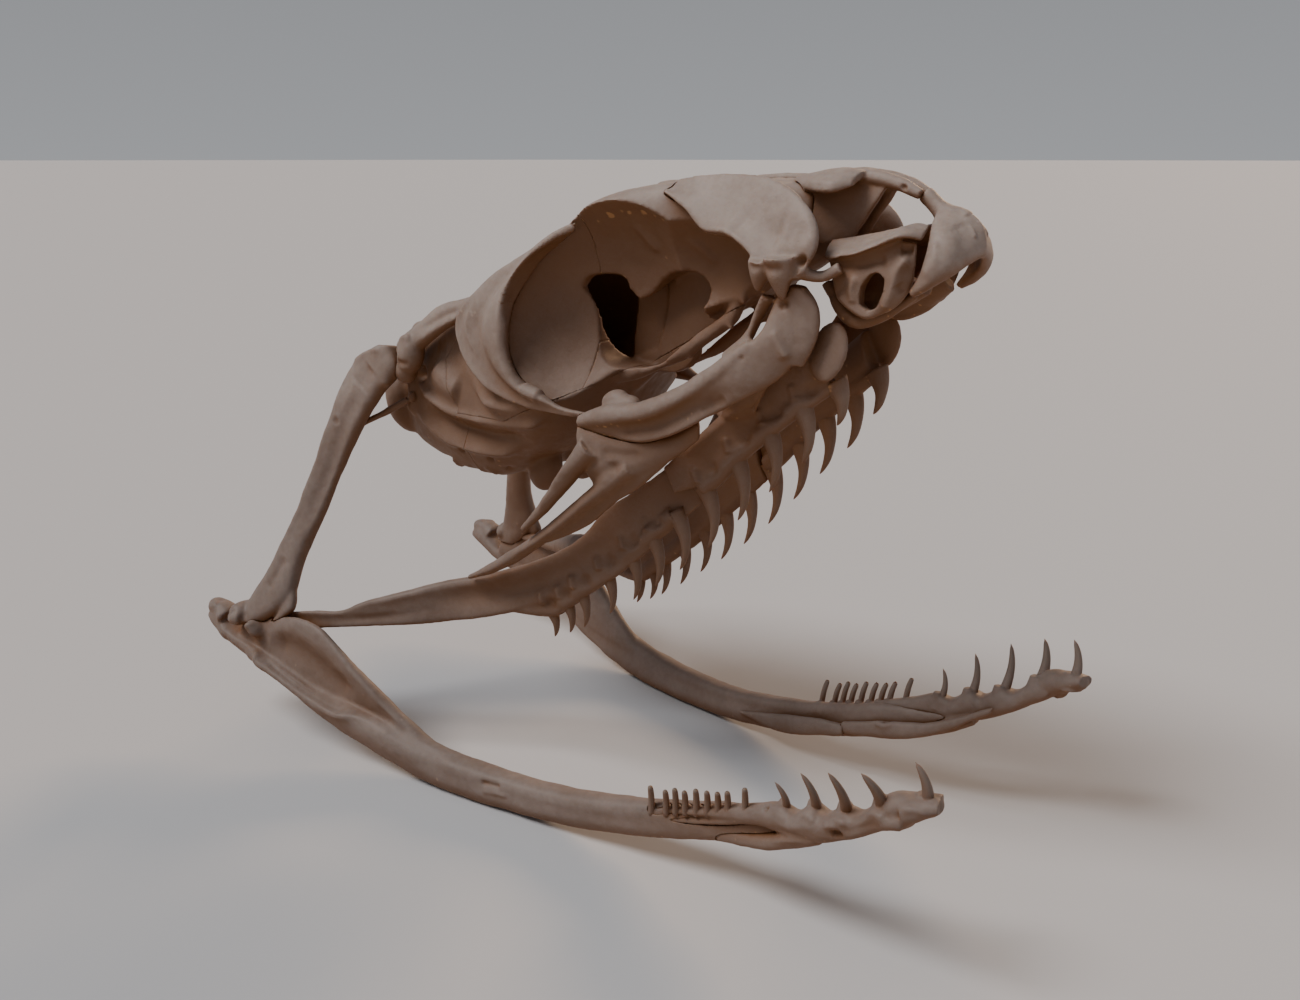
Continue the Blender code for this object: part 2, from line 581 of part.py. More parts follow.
def optic_windows():
    """The notched openings in the inner walls of the eye sockets. They end at
    the thin wall that stands between them on the middle plane."""
    outline = [(3.1, 59.9), (5.6, 60.9), (8.0, 60.2), (10.4, 58.6), (13.6, 60.9), (16.6, 61.4),
               (18.2, 59.4), (17.2, 56.2), (13.0, 52.6), (9.4, 51.6), (6.4, 52.0), (4.9, 54.8)]
    return [prism(outline, side * 0.8, side * 9.0) for side in (1, -1)]


def box(low, high):
    bm = bmesh.new()
    bmesh.ops.create_cube(bm, size=1.0)
    size = Vector(high) - Vector(low)
    centre = (Vector(high) + Vector(low)) / 2
    bm.transform(Matrix.Translation(centre) @ Matrix.Diagonal((*size, 1.0)))
    return bm


def part_braincase(whole, group):
    """Part the braincase along its main sutures into named bones."""
    far = 60.0
    behind = [(-far, 20), (-15.2, 20), (-13.0, 44), (-15.5, 50), (-11.8, 56), (-12.5, 90), (-far, 90)]
    under = [(-14.9, 20), (-12.7, 43.8), (-4, 44.2), (3.4, 47.6), (10, 51.6), (19, 56.6), (40, 67.4),
             (60, 20)]
    middle = [(-12.65, 44.3), (-15.1, 50), (-11.5, 56), (-12.2, 90), (4.6, 90), (5.2, 66), (4.6, 58),
              (5.0, 49.1), (3.2, 47.95), (-4.1, 44.5)]
    ahead = [(4.9, 90), (5.5, 66), (4.9, 58), (5.3, 49.3), (9.8, 51.95), (18.8, 56.95), (39.8, 67.8),
             (60, 90)]
    regions = {"occipital": wedge(behind, -far, far), "basisphenoid": wedge(under, -far, far),
               "parietal": wedge(middle, -far, far), "frontal": wedge(ahead, GAP / 2, far)}
    bones = {}
    for name, region in regions.items():
        bm = bmesh.new()
        bm.from_mesh(whole.data)
        bone = to_object(bm, name, group)
        bones[name] = cut_with(bone, [region], "INTERSECT", "MANIFOLD")
    return bones


def wedge(outline, low, high):
    """A straight-sided block over an outline in the X-Z plane."""
    return skin([[(x, y, z) for x, z in outline] for y in (low, high)])


def postorbital(group):
    """The crescent behind the eye, with a spike forward under it."""
    front = [(6.6, 9.4, 67.4), (3.4, 10.2, 66.0), (-0.6, 11.0, 62.4), (-2.6, 12.2, 58.4), (-2.8, 13.0, 54.4),
             (-1.8, 13.3, 51.0), (0.6, 13.2, 48.4), (4.0, 13.0, 47.0), (9.2, 12.6, 46.5)]
    rear = [(1.4, 8.8, 65.0), (-1.8, 9.4, 62.8), (-6.6, 10.2, 60.4), (-10.0, 10.9, 56.8), (-11.0, 11.3, 54.4),
            (-9.0, 11.7, 51.2), (-5.6, 12.1, 48.4), (-1.0, 12.5, 46.7), (9.0, 12.4, 45.9)]
    thick = [1.2, 2.2, 3.0, 3.4, 3.4, 3.0, 2.4, 1.6, 0.9]
    strap = blade(front, rear, thick, rows=34, camber=-0.5)
    inner = blade([(x + 0.8, y - 1.4, z) for x, y, z in front], [(x + 1.4, y - 1.6, z) for x, y, z in rear],
                  thick, rows=34)
    return cut_with(fuse("postorbital", [strap, inner], group, 340), sockets()[:3])


def prefrontal(group):
    rear = [(15.9, 7.5, 69.8), (18.9, 8.0, 68.2), (21.6, 8.4, 66.2), (25.1, 9.0, 65.8), (28.4, 9.4, 63.8),
            (28.9, 9.4, 61.9)]
    front = [(16.6, 5.6, 71.0), (22, 5.2, 71.5), (28, 5.8, 71.1), (32.6, 7.0, 69.0), (34.7, 8.0, 65.8),
             (33.4, 8.8, 62.2)]
    plate = blade(rear, front, [1.0, 1.5, 1.7, 1.9, 1.9, 1.5], rows=26, camber=0.6)
    feet = [rod([(29.4, 9.3, 62.8), (28.8, 9.2, 61.2)], [1.1, 0.5], rows=4, sides=8),
            rod([(31.5, 9.2, 62.8), (31.5, 9.1, 60.3)], [1.3, 0.5], rows=4, sides=8)]
    bar = rod([(33.0, 8.6, 63.2), (33.6, 7.8, 62.6), (34.8, 7.0, 62.5), (36.3, 6.6, 63.3)],
              [0.9, 0.65, 0.55, 0.5], rows=8, sides=8)
    return fuse("prefrontal", [plate, *feet, bar], group, 320)


def nasal(group):
    ridge = [(28.0, 1.0, 70.8), (31, 0.9, 71.6), (34.4, 0.9, 71.9), (36.6, 0.9, 71.6)]
    eaves = [(28.4, 2.6, 70.6), (31.2, 4.2, 70.1), (34.0, 4.9, 70.0), (35.8, 3.4, 70.6)]
    wing = blade(ridge, eaves, 1.1, rows=16, camber=0.3)
    keel = rod([(30.5, 0.95, 71.0), (35.2, 0.95, 71.3), (38.8, 0.95, 70.7), (41.0, 0.9, 69.8)],
               [0.6, 0.75, 0.7, 0.5], rows=14)
    wall = blade([(29.6, 3.7, 70.0), (32.0, 2.2, 70.8), (35.0, 1.2, 71.2), (38.6, 1.0, 70.6)],
                 [(30.4, 3.5, 65.3), (32.6, 2.3, 65.2), (35.2, 1.3, 65.4), (38.2, 1.0, 67.9)], 1.1, rows=16)
    return fuse("nasal", [wing, keel, wall], group, 240, voxel=0.3)


def premaxilla(group):
    """A hooked shield over the snout with a strut up to the nasals."""
    half_upper = [(42.5, 4.9, 61.3), (43.5, 5.1, 62.9), (43.9, 4.8, 64.8), (43.6, 3.8, 66.4), (43.0, 2.0, 67.7),
                  (42.5, 0.0, 68.4)]
    half_lower = [(42.8, 4.5, 61.0), (44.2, 4.0, 61.9), (45.5, 3.0, 62.8), (46.4, 1.7, 63.7), (46.9, 0.8, 64.2),
                  (47.1, 0.0, 64.4)]
    upper = [(x, -y, z) for x, y, z in half_upper] + half_upper[-2::-1]
    lower = [(x, -y, z) for x, y, z in half_lower] + half_lower[-2::-1]
    shield = blade(upper, lower, [0.9, 1.3, 1.5, 1.5, 1.6, 1.8, 1.6, 1.5, 1.5, 1.3, 0.9], rows=44,
                   camber=[0, -0.3, -0.6, -0.8, -0.8, -0.8, -0.8, -0.8, -0.6, -0.3, 0])
    strut = rod([(41.0, 0, 69.8), (42.2, 0, 68.8), (43.2, 0, 68.0), (44.8, 0, 67.0)], [0.75, 0.8, 1.1, 1.5],
                rows=8)
    spine = rod([(45.0, 0, 64.4), (42.0, 0, 63.4), (38.5, 0, 62.6)], [1.3, 0.9, 0.7], rows=8)
    return fuse("premaxilla", [shield, strut, spine], group, 420, voxel=0.3)


def septomaxilla(group):
    flange = blade([(32.8, 2.4, 65.4), (36.2, 2.0, 66.0), (39.4, 2.0, 66.6), (41.6, 2.2, 67.2), (43.0, 2.6, 67.1)],
                   [(34.2, 6.0, 64.0), (37.2, 6.6, 64.4), (39.6, 6.5, 65.4), (41.9, 6.0, 66.4),
                    (43.3, 4.7, 66.0)], 1.1, rows=20)
    wall = blade([(34.4, 5.9, 64.2), (37.6, 6.0, 64.6), (40.6, 5.8, 65.8), (42.8, 4.9, 65.8)],
                 [(35.4, 5.1, 60.2), (38.2, 5.1, 58.7), (41.0, 4.8, 59.8), (42.6, 4.2, 61.6)], 1.2, rows=18)
    bone = fuse("septomaxilla", [flange, wall], group, 300, voxel=0.3)
    outline = [(38.2, 61.6), (38.9, 62.5), (39.7, 62.8), (40.3, 62.3), (40.1, 61.0), (39.6, 59.9), (38.7, 59.5),
               (38.0, 60.1)]
    return cut_with(bone, [prism(outline, 0.0, 12.0)])


def vomer(group):
    plate = blade([(33.0, 1.2, 63.4), (36, 1.2, 62.8), (40.5, 1.2, 61.8), (42.6, 1.2, 62.0)],
                  [(34.6, 3.6, 59.8), (37.0, 4.0, 58.3), (40.4, 3.6, 59.4), (42.8, 3.0, 61.0)], 1.3, rows=14)
    return fuse("vomer", [plate], group, 140, voxel=0.3)


def build():
    clear_scene()
    skull = collection("snake_skull")
    collection("cutters")
    bone_mat = material("bone", BONE_COLOUR)
    tooth_mat = material("tooth_bearing_bone", TOOTH_BEARING)

    whole = braincase_whole(skull)
    case = part_braincase(whole, skull)
    bpy.data.objects.remove(whole, do_unlink=True)

    made = {"nasal": nasal(skull), "prefrontal": prefrontal(skull), "postorbital": postorbital(skull),
            "supratemporal": supratemporal(skull), "quadrate": quadrate(skull), "stapes": stapes(skull),
            "septomaxilla": septomaxilla(skull), "vomer": vomer(skull), "maxilla": maxilla(skull),
            "ectopterygoid": ectopterygoid(skull), "palatine": palatine(skull), "pterygoid": pterygoid(skull),
            "compound": compound_bone(skull), "dentary": dentary(skull), "splenial": splenial(skull),
            "angular": angular(skull)}
    front = premaxilla(skull)

    stand_clear(case["frontal"], [made["prefrontal"], made["postorbital"]])
    for name in ("parietal", "basisphenoid"):
        stand_clear(case[name], [made["postorbital"]], sides=(1, -1))
    stand_clear(made["postorbital"], [made["maxilla"]])
    stand_clear(made["nasal"], [case["frontal"], made["prefrontal"]])
    stand_clear(made["supratemporal"], [case["occipital"], case["parietal"], made["postorbital"]])
    stand_clear(made["quadrate"], [made["supratemporal"], case["occipital"]])
    stand_clear(made["stapes"], [case["occipital"], made["quadrate"]])
    stand_clear(front, [made["nasal"]], sides=(1, -1))
    stand_clear(made["septomaxilla"], [front, made["nasal"], case["frontal"], made["prefrontal"]])
    stand_clear(made["vomer"], [made["septomaxilla"], front, case["basisphenoid"], case["frontal"]])
    stand_clear(made["maxilla"], [made["prefrontal"], case["basisphenoid"], case["parietal"]])
    stand_clear(made["palatine"], [made["maxilla"], made["vomer"], made["septomaxilla"],
                                   case["basisphenoid"]])
    stand_clear(made["pterygoid"], [made["palatine"]])
    stand_clear(made["ectopterygoid"], [made["maxilla"], made["pterygoid"], made["palatine"]])
    stand_clear(made["compound"], [made["dentary"], made["quadrate"]])
    stand_clear(made["splenial"], [made["dentary"], made["compound"]], solver="MANIFOLD")
    stand_clear(made["angular"], [made["compound"], made["dentary"], made["splenial"]])

    for item in (*case.values(), *made.values(), front):
        merge_flat(item)

    toothed = {"dentary": dentary_teeth(), "palatine": palatal_teeth(0, 5), "pterygoid": palatal_teeth(5, 12)}
    for name, teeth in toothed.items():
        add_teeth(made[name], teeth)

    made["frontal"] = case.pop("frontal")
    for name, item in list(made.items()):
        right = mirrored(item, name + "_R", skull)
        item.name = name + "_L"
        for one in (item, right):
            one.data.materials.append(tooth_mat if name in toothed else bone_mat)
    for item in (*case.values(), front):
        item.data.materials.append(bone_mat)
    for item in skull.objects:
        item.data.transform(Matrix.Scale(MILLIMETRE, 4) @ Matrix.Translation((-HALFWAY, 0, 0)))
        item.data.name = item.name
    bpy.data.collections.remove(bpy.data.collections["cutters"])


build()
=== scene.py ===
"""The looks of a life-size snake skull: fine bone in place of the plain solids.

Shapes are worked out in millimetres, in the drawing's own frame: X runs forward
to the snout and starts below the middle of the braincase, Y runs to the animal's
left and Z up. Paired bones are modelled on the left and mirrored. At the end each
bone is scaled to metres and moved so that X starts halfway along the skull.
"""
from math import cos, pi, radians, sin

import bmesh
import bpy
import numpy as np
from mathutils import Matrix, Vector


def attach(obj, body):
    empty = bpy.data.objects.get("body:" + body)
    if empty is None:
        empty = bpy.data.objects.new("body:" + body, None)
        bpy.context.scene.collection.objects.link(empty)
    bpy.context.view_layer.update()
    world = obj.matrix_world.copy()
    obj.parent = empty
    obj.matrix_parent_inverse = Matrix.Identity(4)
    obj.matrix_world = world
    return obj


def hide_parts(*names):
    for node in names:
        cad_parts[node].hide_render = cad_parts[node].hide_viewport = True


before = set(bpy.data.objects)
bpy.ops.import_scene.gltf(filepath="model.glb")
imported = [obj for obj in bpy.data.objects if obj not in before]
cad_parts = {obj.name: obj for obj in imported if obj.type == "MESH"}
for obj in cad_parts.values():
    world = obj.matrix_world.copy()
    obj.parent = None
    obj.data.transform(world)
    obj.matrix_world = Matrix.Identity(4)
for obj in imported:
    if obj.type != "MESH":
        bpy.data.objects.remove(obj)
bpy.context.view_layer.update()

MILLIMETRE = 0.001
HALFWAY = 2.61            # middle of the skull's length in the drawing's frame
GAP = 0.13                # clearance between neighbouring bones
SEAM = 0.05               # clearance where bones lie tightly together
SUTURE = 0.025            # half width of the seams in the braincase
COARSE, MEDIUM, FINE = 0.24, 0.18, 0.13    # grain of the surfaces
BRAINCASE_HALF = 11.8
ROOF_HALF = 6.8
ORBIT_CENTRE = (11.8, 15.6, 57.6)
ORBIT_RADII = (16.2, 12.4, 13.4)
ORBIT_FRONT = ((20.5, 14.5, 61.4), (10.5, 11.6, 7.8))
ORBIT_FLOOR = ((14.0, 13.5, 50.8), (10.5, 9.6, 6.6))

# The photo's camera, in millimetres and in the drawing's frame
CAMERA_PLACE = (95.0, -104.0, 73.0)
CAMERA_RIGHT = (0.76684592, 0.64183123, 0.0)
CAMERA_UP = (-0.17497274, 0.2090536, 0.96212324)
CAMERA_BACK = (0.61752075, -0.73780028, 0.27261487)
FOCAL_PIXELS = 1207.0
PHOTO_WIDTH = 1300.0
SENSOR = 36.0

SIDES = {"out": (0, 1, 0), "in": (0, -1, 0), "rear": (-0.4, 1, 0)}
STROKE_REACH = 2.6        # a stroke is felt up to this many radii away
CROWN_START = 0.42        # share of a tooth's length where its enamel starts
FLOOR_HALF = 40.0         # metres


# Curves and plain forms

def points(line):
    """A row of points. As text, spaces part the numbers and commas the points."""
    if isinstance(line, str):
        return [tuple(map(float, point.split())) for point in line.split(",")]
    return line


def smooth_through(line, count):
    """A smooth curve through points or values, sampled at count places."""
    p = np.atleast_1d(np.array(points(line), float))
    if p.ndim == 1:
        p = p[:, None]
    if len(p) == 1:
        return np.repeat(p, count, axis=0)
    ends = np.vstack([2 * p[0] - p[1], p, 2 * p[-1] - p[-2]])
    t = np.linspace(0, len(p) - 1, count)
    i = np.minimum(t.astype(int), len(p) - 2)
    u = (t - i)[:, None]
    a, b, c, d = ends[i], ends[i + 1], ends[i + 2], ends[i + 3]
    return 0.5 * (2 * b + (c - a) * u + (2 * a - 5 * b + 4 * c - d) * u**2
                  + (3 * b - a - 3 * c + d) * u**3)


def skin(rings):
    """A closed mesh over a row of rings, with both ends filled."""
    bm = bmesh.new()
    rows = [[bm.verts.new(p) for p in ring] for ring in rings]
    for first, second in zip(rows, rows[1:]):
        for k in range(len(first)):
            j = (k + 1) % len(first)
            bm.faces.new((first[k], first[j], second[j], second[k]))
    bm.faces.new(rows[0])
    bm.faces.new(list(reversed(rows[-1])))
    bmesh.ops.triangulate(bm, faces=[f for f in bm.faces if len(f.verts) > 4])
    bmesh.ops.recalc_face_normals(bm, faces=bm.faces)
    return bm


def unit(v):
    return v / max(np.linalg.norm(v), 1e-9)


def circle(sides):
    """Cosine and sine of the corners of an even polygon."""
    return [(cos(2 * pi * k / sides), sin(2 * pi * k / sides)) for k in range(sides)]


def blade(edge_a, edge_b, thick, rows=48, camber=0.0):
    """A strap of bone between two edge curves, lens shaped across. thick is one
    value or a list along the strap; camber bows it sideways."""
    a, b, t, bow = (smooth_through(line, rows) for line in (edge_a, edge_b, thick, camber))
    middle = (a + b) / 2
    along = np.gradient(middle, axis=0)
    rings = []
    for k in range(rows):
        half = (b[k] - a[k]) / 2
        normal = unit(np.cross(along[k], half))
        ring = []
        for c, n in circle(28):
            lift = n * abs(n) ** -0.3 * t[k, 0] / 2 if abs(n) > 1e-9 else 0.0
            ring.append(middle[k] + c * half + normal * (lift + bow[k, 0] * (1 - c * c)))
        rings.append(ring)
    return skin(rings)


def rod(path, radii, rows=40, sides=20, flatten=1.0):
    """A tapering round or flattened bar along a smooth path."""
    p = smooth_through(path, rows)
    r = smooth_through(radii, rows)[:, 0]
    along = np.gradient(p, axis=0)
    rings = []
    for k in range(rows):
        side = unit(np.cross((0.0, 0.0, 1.0), along[k]))
        top = unit(np.cross(along[k], side))
        rings.append([p[k] + r[k] * (c * side + flatten * n * top) for c, n in circle(sides)])
    return skin(rings)


def ball(centre, radii, turn=(0, 0, 0), detail=4):
    """An ellipsoid, turned about X, Y and Z in degrees."""
    bm = bmesh.new()
    bmesh.ops.create_icosphere(bm, subdivisions=detail, radius=1.0)
    spin = Matrix.Identity(4)
    for angle, axis in zip(turn, "XYZ"):
        spin = Matrix.Rotation(radians(angle), 4, axis) @ spin
    size = Matrix.Diagonal((*radii, 1.0))
    bm.transform(Matrix.Translation(centre) @ spin @ size)
    return bm


def oval_rings(stations, rows, sides=96):
    """Cross sections of the braincase. Each station is (x, half width, top z,
    widest z, bottom z, squareness above, squareness below, flatness of the top)."""
    rings = []
    for x, half, top, mid, low, above, below, flat in smooth_through(stations, rows):
        ring = []
        for c, n in circle(sides):
            y = half * np.sign(c) * abs(c) ** (above if n > 0 else below)
            z = mid + ((top - mid) * n**flat if n > 0 else (mid - low) * n)
            ring.append((x, y, z))
        rings.append(ring)
    return rings


def prism(outline, near, far):
    """A smooth outline in the X-Z plane, carried through from near to far in Y."""
    outline = points(outline)
    line = smooth_through(outline + outline[:1], len(outline) * 5)[:-1]
    return skin([[(x, y, z) for x, z in line] for y in (near, far)])


def wedge(outline, low, high):
    """A straight-sided block over an outline in the X-Z plane."""
    return skin([[(x, y, z) for x, z in outline] for y in (low, high)])


# Joining, cutting and cleaning meshes

def to_object(bm, name):
    mesh = bpy.data.meshes.new(name)
    bm.to_mesh(mesh)
    bm.free()
    item = bpy.data.objects.new(name, mesh)
    bpy.context.scene.collection.objects.link(item)
    return item


def discard(item):
    mesh = item.data
    bpy.data.objects.remove(item, do_unlink=True)
    bpy.data.meshes.remove(mesh)


def bake(item):
    """Replace an object's mesh by its shape with all modifiers applied."""
    graph = bpy.context.evaluated_depsgraph_get()
    mesh = bpy.data.meshes.new_from_object(item.evaluated_get(graph))
    item.modifiers.clear()
    before = item.data
    item.data = mesh
    bpy.data.meshes.remove(before)
    return item


def grain(item, voxel, polish):
    """Give a bone one even, closed surface and smooth it a little."""
    remesh = item.modifiers.new("grain", "REMESH")
    remesh.mode = "VOXEL"
    remesh.voxel_size = voxel
    soften = item.modifiers.new("soften", "SMOOTH")
    soften.factor = 0.5
    soften.iterations = polish
    return keep_largest(bake(item))


def fuse(name, pieces, voxel=MEDIUM, polish=8):
    """Join the pieces of one bone into one closed, smooth surface."""
    bm = bmesh.new()
    for piece in pieces:
        mesh = bpy.data.meshes.new("piece")
        piece.to_mesh(mesh)
        piece.free()
        bm.from_mesh(mesh)
        bpy.data.meshes.remove(mesh)
    return grain(to_object(bm, name), voxel, polish)


def islands(mesh):
    """A label for each vertex, alike for the vertices of one closed surface."""
    ends = np.empty(len(mesh.edges) * 2, np.int32)
    mesh.edges.foreach_get("vertices", ends)
    a, b = ends[::2], ends[1::2]
    label = np.arange(len(mesh.vertices))
    while True:
        low = np.minimum(label[a], label[b])
        fresh = label.copy()
        np.minimum.at(fresh, a, low)
        np.minimum.at(fresh, b, low)
        fresh = fresh[fresh]
        if np.array_equal(fresh, label):
            return label
        label = fresh


def keep_largest(item):
    """Drop every loose scrap but the surface with the most vertices."""
    label = islands(item.data)
    names, counts = np.unique(label, return_counts=True)
    if len(names) > 1:
        extra = label != names[np.argmax(counts)]
        bm = bmesh.new()
        bm.from_mesh(item.data)
        bm.verts.ensure_lookup_table()
        bmesh.ops.delete(bm, geom=[bm.verts[i] for i in np.nonzero(extra)[0]], context="VERTS")
        bm.to_mesh(item.data)
        bm.free()
    return item


def boolean(item, tool, operation="DIFFERENCE"):
    cut = item.modifiers.new("cut", "BOOLEAN")
    cut.operation = operation
    cut.solver = "MANIFOLD"
    cut.object = tool
    return keep_largest(bake(item))


def cut_with(item, shapes, operation="DIFFERENCE"):
    for shape in shapes:
        tool = to_object(shape, "cutter")
        boolean(item, tool, operation)
        discard(tool)
    return item


def grown_copy(item, distance, side=1):
    """A copy of a bone grown outward by the distance, used as a cutter. With
    side -1 it stands for the bone's partner on the right."""
    co = places(item) + normals(item) * distance
    copy = bpy.data.objects.new("cutter", item.data.copy())
    bpy.context.scene.collection.objects.link(copy)
    place(copy, co)
    if side < 0:
        mirror(copy)
    return copy


def stand_clear(item, neighbours, sides=(1,), gap=GAP):
    """Cut a bone back so that it meets its neighbours with an even gap."""
    for neighbour in neighbours:
        for side in sides:
            tool = grown_copy(neighbour, gap, side)
            boolean(item, tool)
            discard(tool)


def mirror(item):
    """Turn a left bone into a right one."""
    bm = bmesh.new()
    bm.from_mesh(item.data)
    bm.transform(Matrix.Diagonal((1.0, -1.0, 1.0, 1.0)))
    bmesh.ops.reverse_faces(bm, faces=bm.faces)
    bm.to_mesh(item.data)
    bm.free()


# Sculpting

def places(item):
    co = np.empty(len(item.data.vertices) * 3, np.float32)
    item.data.vertices.foreach_get("co", co)
    return co.reshape(-1, 3).astype(float)


def place(item, co):
    item.data.vertices.foreach_set("co", co.astype(np.float32).ravel())
    item.data.update()


def normals(item):
    n = np.empty(len(item.data.vertices) * 3, np.float32)
    item.data.vertex_normals.foreach_get("vector", n)
    return n.reshape(-1, 3).astype(float)


def stroke(path, radius, height, edge=2.0, side=None):
    """One stroke of the sculpting tool along a path: it raises the surface near
    the path, or lowers it where the height is negative. A small edge makes a
    sharp crest, a large one a flat mark with a crisp rim. side names a direction
    that the surface has to face."""
    return path, radius, height, edge, side


def marks(table):
    """Strokes from a table with rows of path | radius | height | edge | side. The
    last two may be missing, and a comma at a row's end carries it on."""
    strokes = []
    for row in table.replace(",\n", ",").splitlines():
        fields = [field.strip() for field in row.split("|")]
        if len(fields) >= 3:
            path, radius, height, edge, side = fields + ["2", None][len(fields) - 3:]
            strokes.append(stroke(points(path), [float(value) for value in radius.split()],
                                  float(height), float(edge), side))
    return strokes


def sculpt(item, strokes, both_sides=False):
    """Work the strokes into the surface. A bone on the middle plane is worked
    alike on both sides."""
    co = places(item)
    n = normals(item)
    seat = co.copy()
    facing = n.copy()
    if both_sides:
        facing[:, 1] *= np.sign(seat[:, 1])
        seat[:, 1] = np.abs(seat[:, 1])
    push = np.zeros(len(co))
    for path, radius, height, edge, side in strokes:
        count = len(path) * 9 if len(path) > 1 else 2
        line = smooth_through(path, count)
        radius = smooth_through(radius, count)[:, 0]
        reach = STROKE_REACH * radius.max()
        near = np.all((seat > line.min(0) - reach) & (seat < line.max(0) + reach), axis=1)
        index = np.nonzero(near)[0]
        gap, at = nearest(seat[index], line)
        t = np.clip(at, 0, count - 1)
        low = np.minimum(t.astype(int), count - 2)
        here = radius[low] + (radius[low + 1] - radius[low]) * (t - low)
        share = np.exp(-(gap / here) ** edge)
        if len(path) > 1:
            # the stroke fades out toward both ends
            along = t / (count - 1)
            share = share * np.clip(np.minimum(along, 1 - along) * 6 + 0.15, 0, 1)
        if side:
            turned = facing[index] @ unit(np.array(SIDES[side], float))
            share = share * np.clip(turned * 2.5 + 0.3, 0, 1)
        push[index] += share * height
    place(item, co + n * push[:, None])
    return item


def nearest(co, line):
    """Distance from each point to a line of short pieces, and where on it."""
    best = np.full(len(co), 1e9)
    at = np.zeros(len(co))
    for k in range(len(line) - 1):
        a, d = line[k], line[k + 1] - line[k]
        size = d @ d
        u = np.clip((co - a) @ d / size, 0, 1) if size > 1e-12 else np.zeros(len(co))
        gap = np.linalg.norm(co - a - u[:, None] * d, axis=1)
        closer = gap < best
        best[closer] = gap[closer]
        at[closer] = k + u[closer]
    return best, at


def roughen(item, grain_size, strength, depth):
    """Uneven surface, as of real bone: grain_size is its scale in millimetres."""
    texture = bpy.data.textures.new("bone noise", "CLOUDS")
    texture.noise_scale = grain_size
    texture.noise_depth = depth
    bumps = item.modifiers.new("bumps", "DISPLACE")
    bumps.texture = texture
    bumps.strength = strength
    bumps.mid_level = 0.5
    return bake(item)


def weathered(item):
    """Broad unevenness and a fine grain over the whole bone."""
    roughen(item, 3.4, 0.22, 1)
    roughen(item, 0.9, 0.055, 2)


# Teeth

def tooth(root, tip, width, sweep, wide=1.0, full=0.0):
    """A curved cone whose root is sunk in the jaw. sweep bows it forward, wide
    stretches its base along the jaw and full makes its middle stouter."""
    root, tip = np.array(root, float), np.array(tip, float)
    middle = root * 0.45 + tip * 0.55 + np.array(sweep, float)
    t = np.linspace(0, 1, 24)[:, None]
    spine = (1 - t) ** 2 * root + 2 * t * (1 - t) * middle + t**2 * tip
    along = np.gradient(spine, axis=0)
    rings = []
    for k, u in enumerate(t[:, 0]):
        radius = width * np.interp(u, [0, 0.25, 0.5, 0.75, 0.9, 0.97, 1],
                                   [1, 0.82 + full, 0.62 + full, 0.43 + full, 0.25 + full, 0.13, 0.04])
        side = unit(np.cross((0.0, 1.0, 0.0), along[k]))
        top = unit(np.cross(along[k], side))
        stretch = wide + (1 - wide) * min(1.0, u * 1.9)
        rings.append([spine[k] + radius * (stretch * c * side + n * top) for c, n in circle(20)])
    return skin(rings)


def add_teeth(item, teeth):
    """Set a row of teeth into a bone."""
    for shape in teeth:
        tool = to_object(shape, "tooth")
        boolean(item, tool, "UNION")
        discard(tool)


# Lower jaw

def jaw_y(x):
    """How far the lower jaw stands out from the middle plane at x."""
    at = [-50, -38, -30.6, -23.7, -15.6, -7.8, 0, 7.3, 14.2, 20.9, 27.2, 33.5, 40, 45.8, 51, 54.5]
    out = [24, 24.5, 23.9, 21.8, 20.4, 19.2, 18.3, 17.4, 16.5, 15.9, 15.5, 15.4, 15.9, 16.5, 17, 16.2]
    return float(np.interp(x, at, out))


def jaw_top_y(x):
    """The same for the upper edge, which leans out behind."""
    at = [-50, -46, -38, -28, -23, -16.7, -11.7, -7.6, -2.1, 3.6, 9.2, 14.8, 20, 27.2, 54.5]
    out = [24, 24, 23.7, 23.4, 23, 21.9, 21.4, 20.3, 19, 18, 17.2, 16.7, 16.1, 15.2, 15.2]
    return float(np.interp(x, at, out))


def jaw_edge(pairs, inward=0.0, line=jaw_y):
    """An edge given by x and z, laid on the jaw's curve or inward of it."""
    return [(x, line(x) - inward, z) for x, z in points(pairs)]


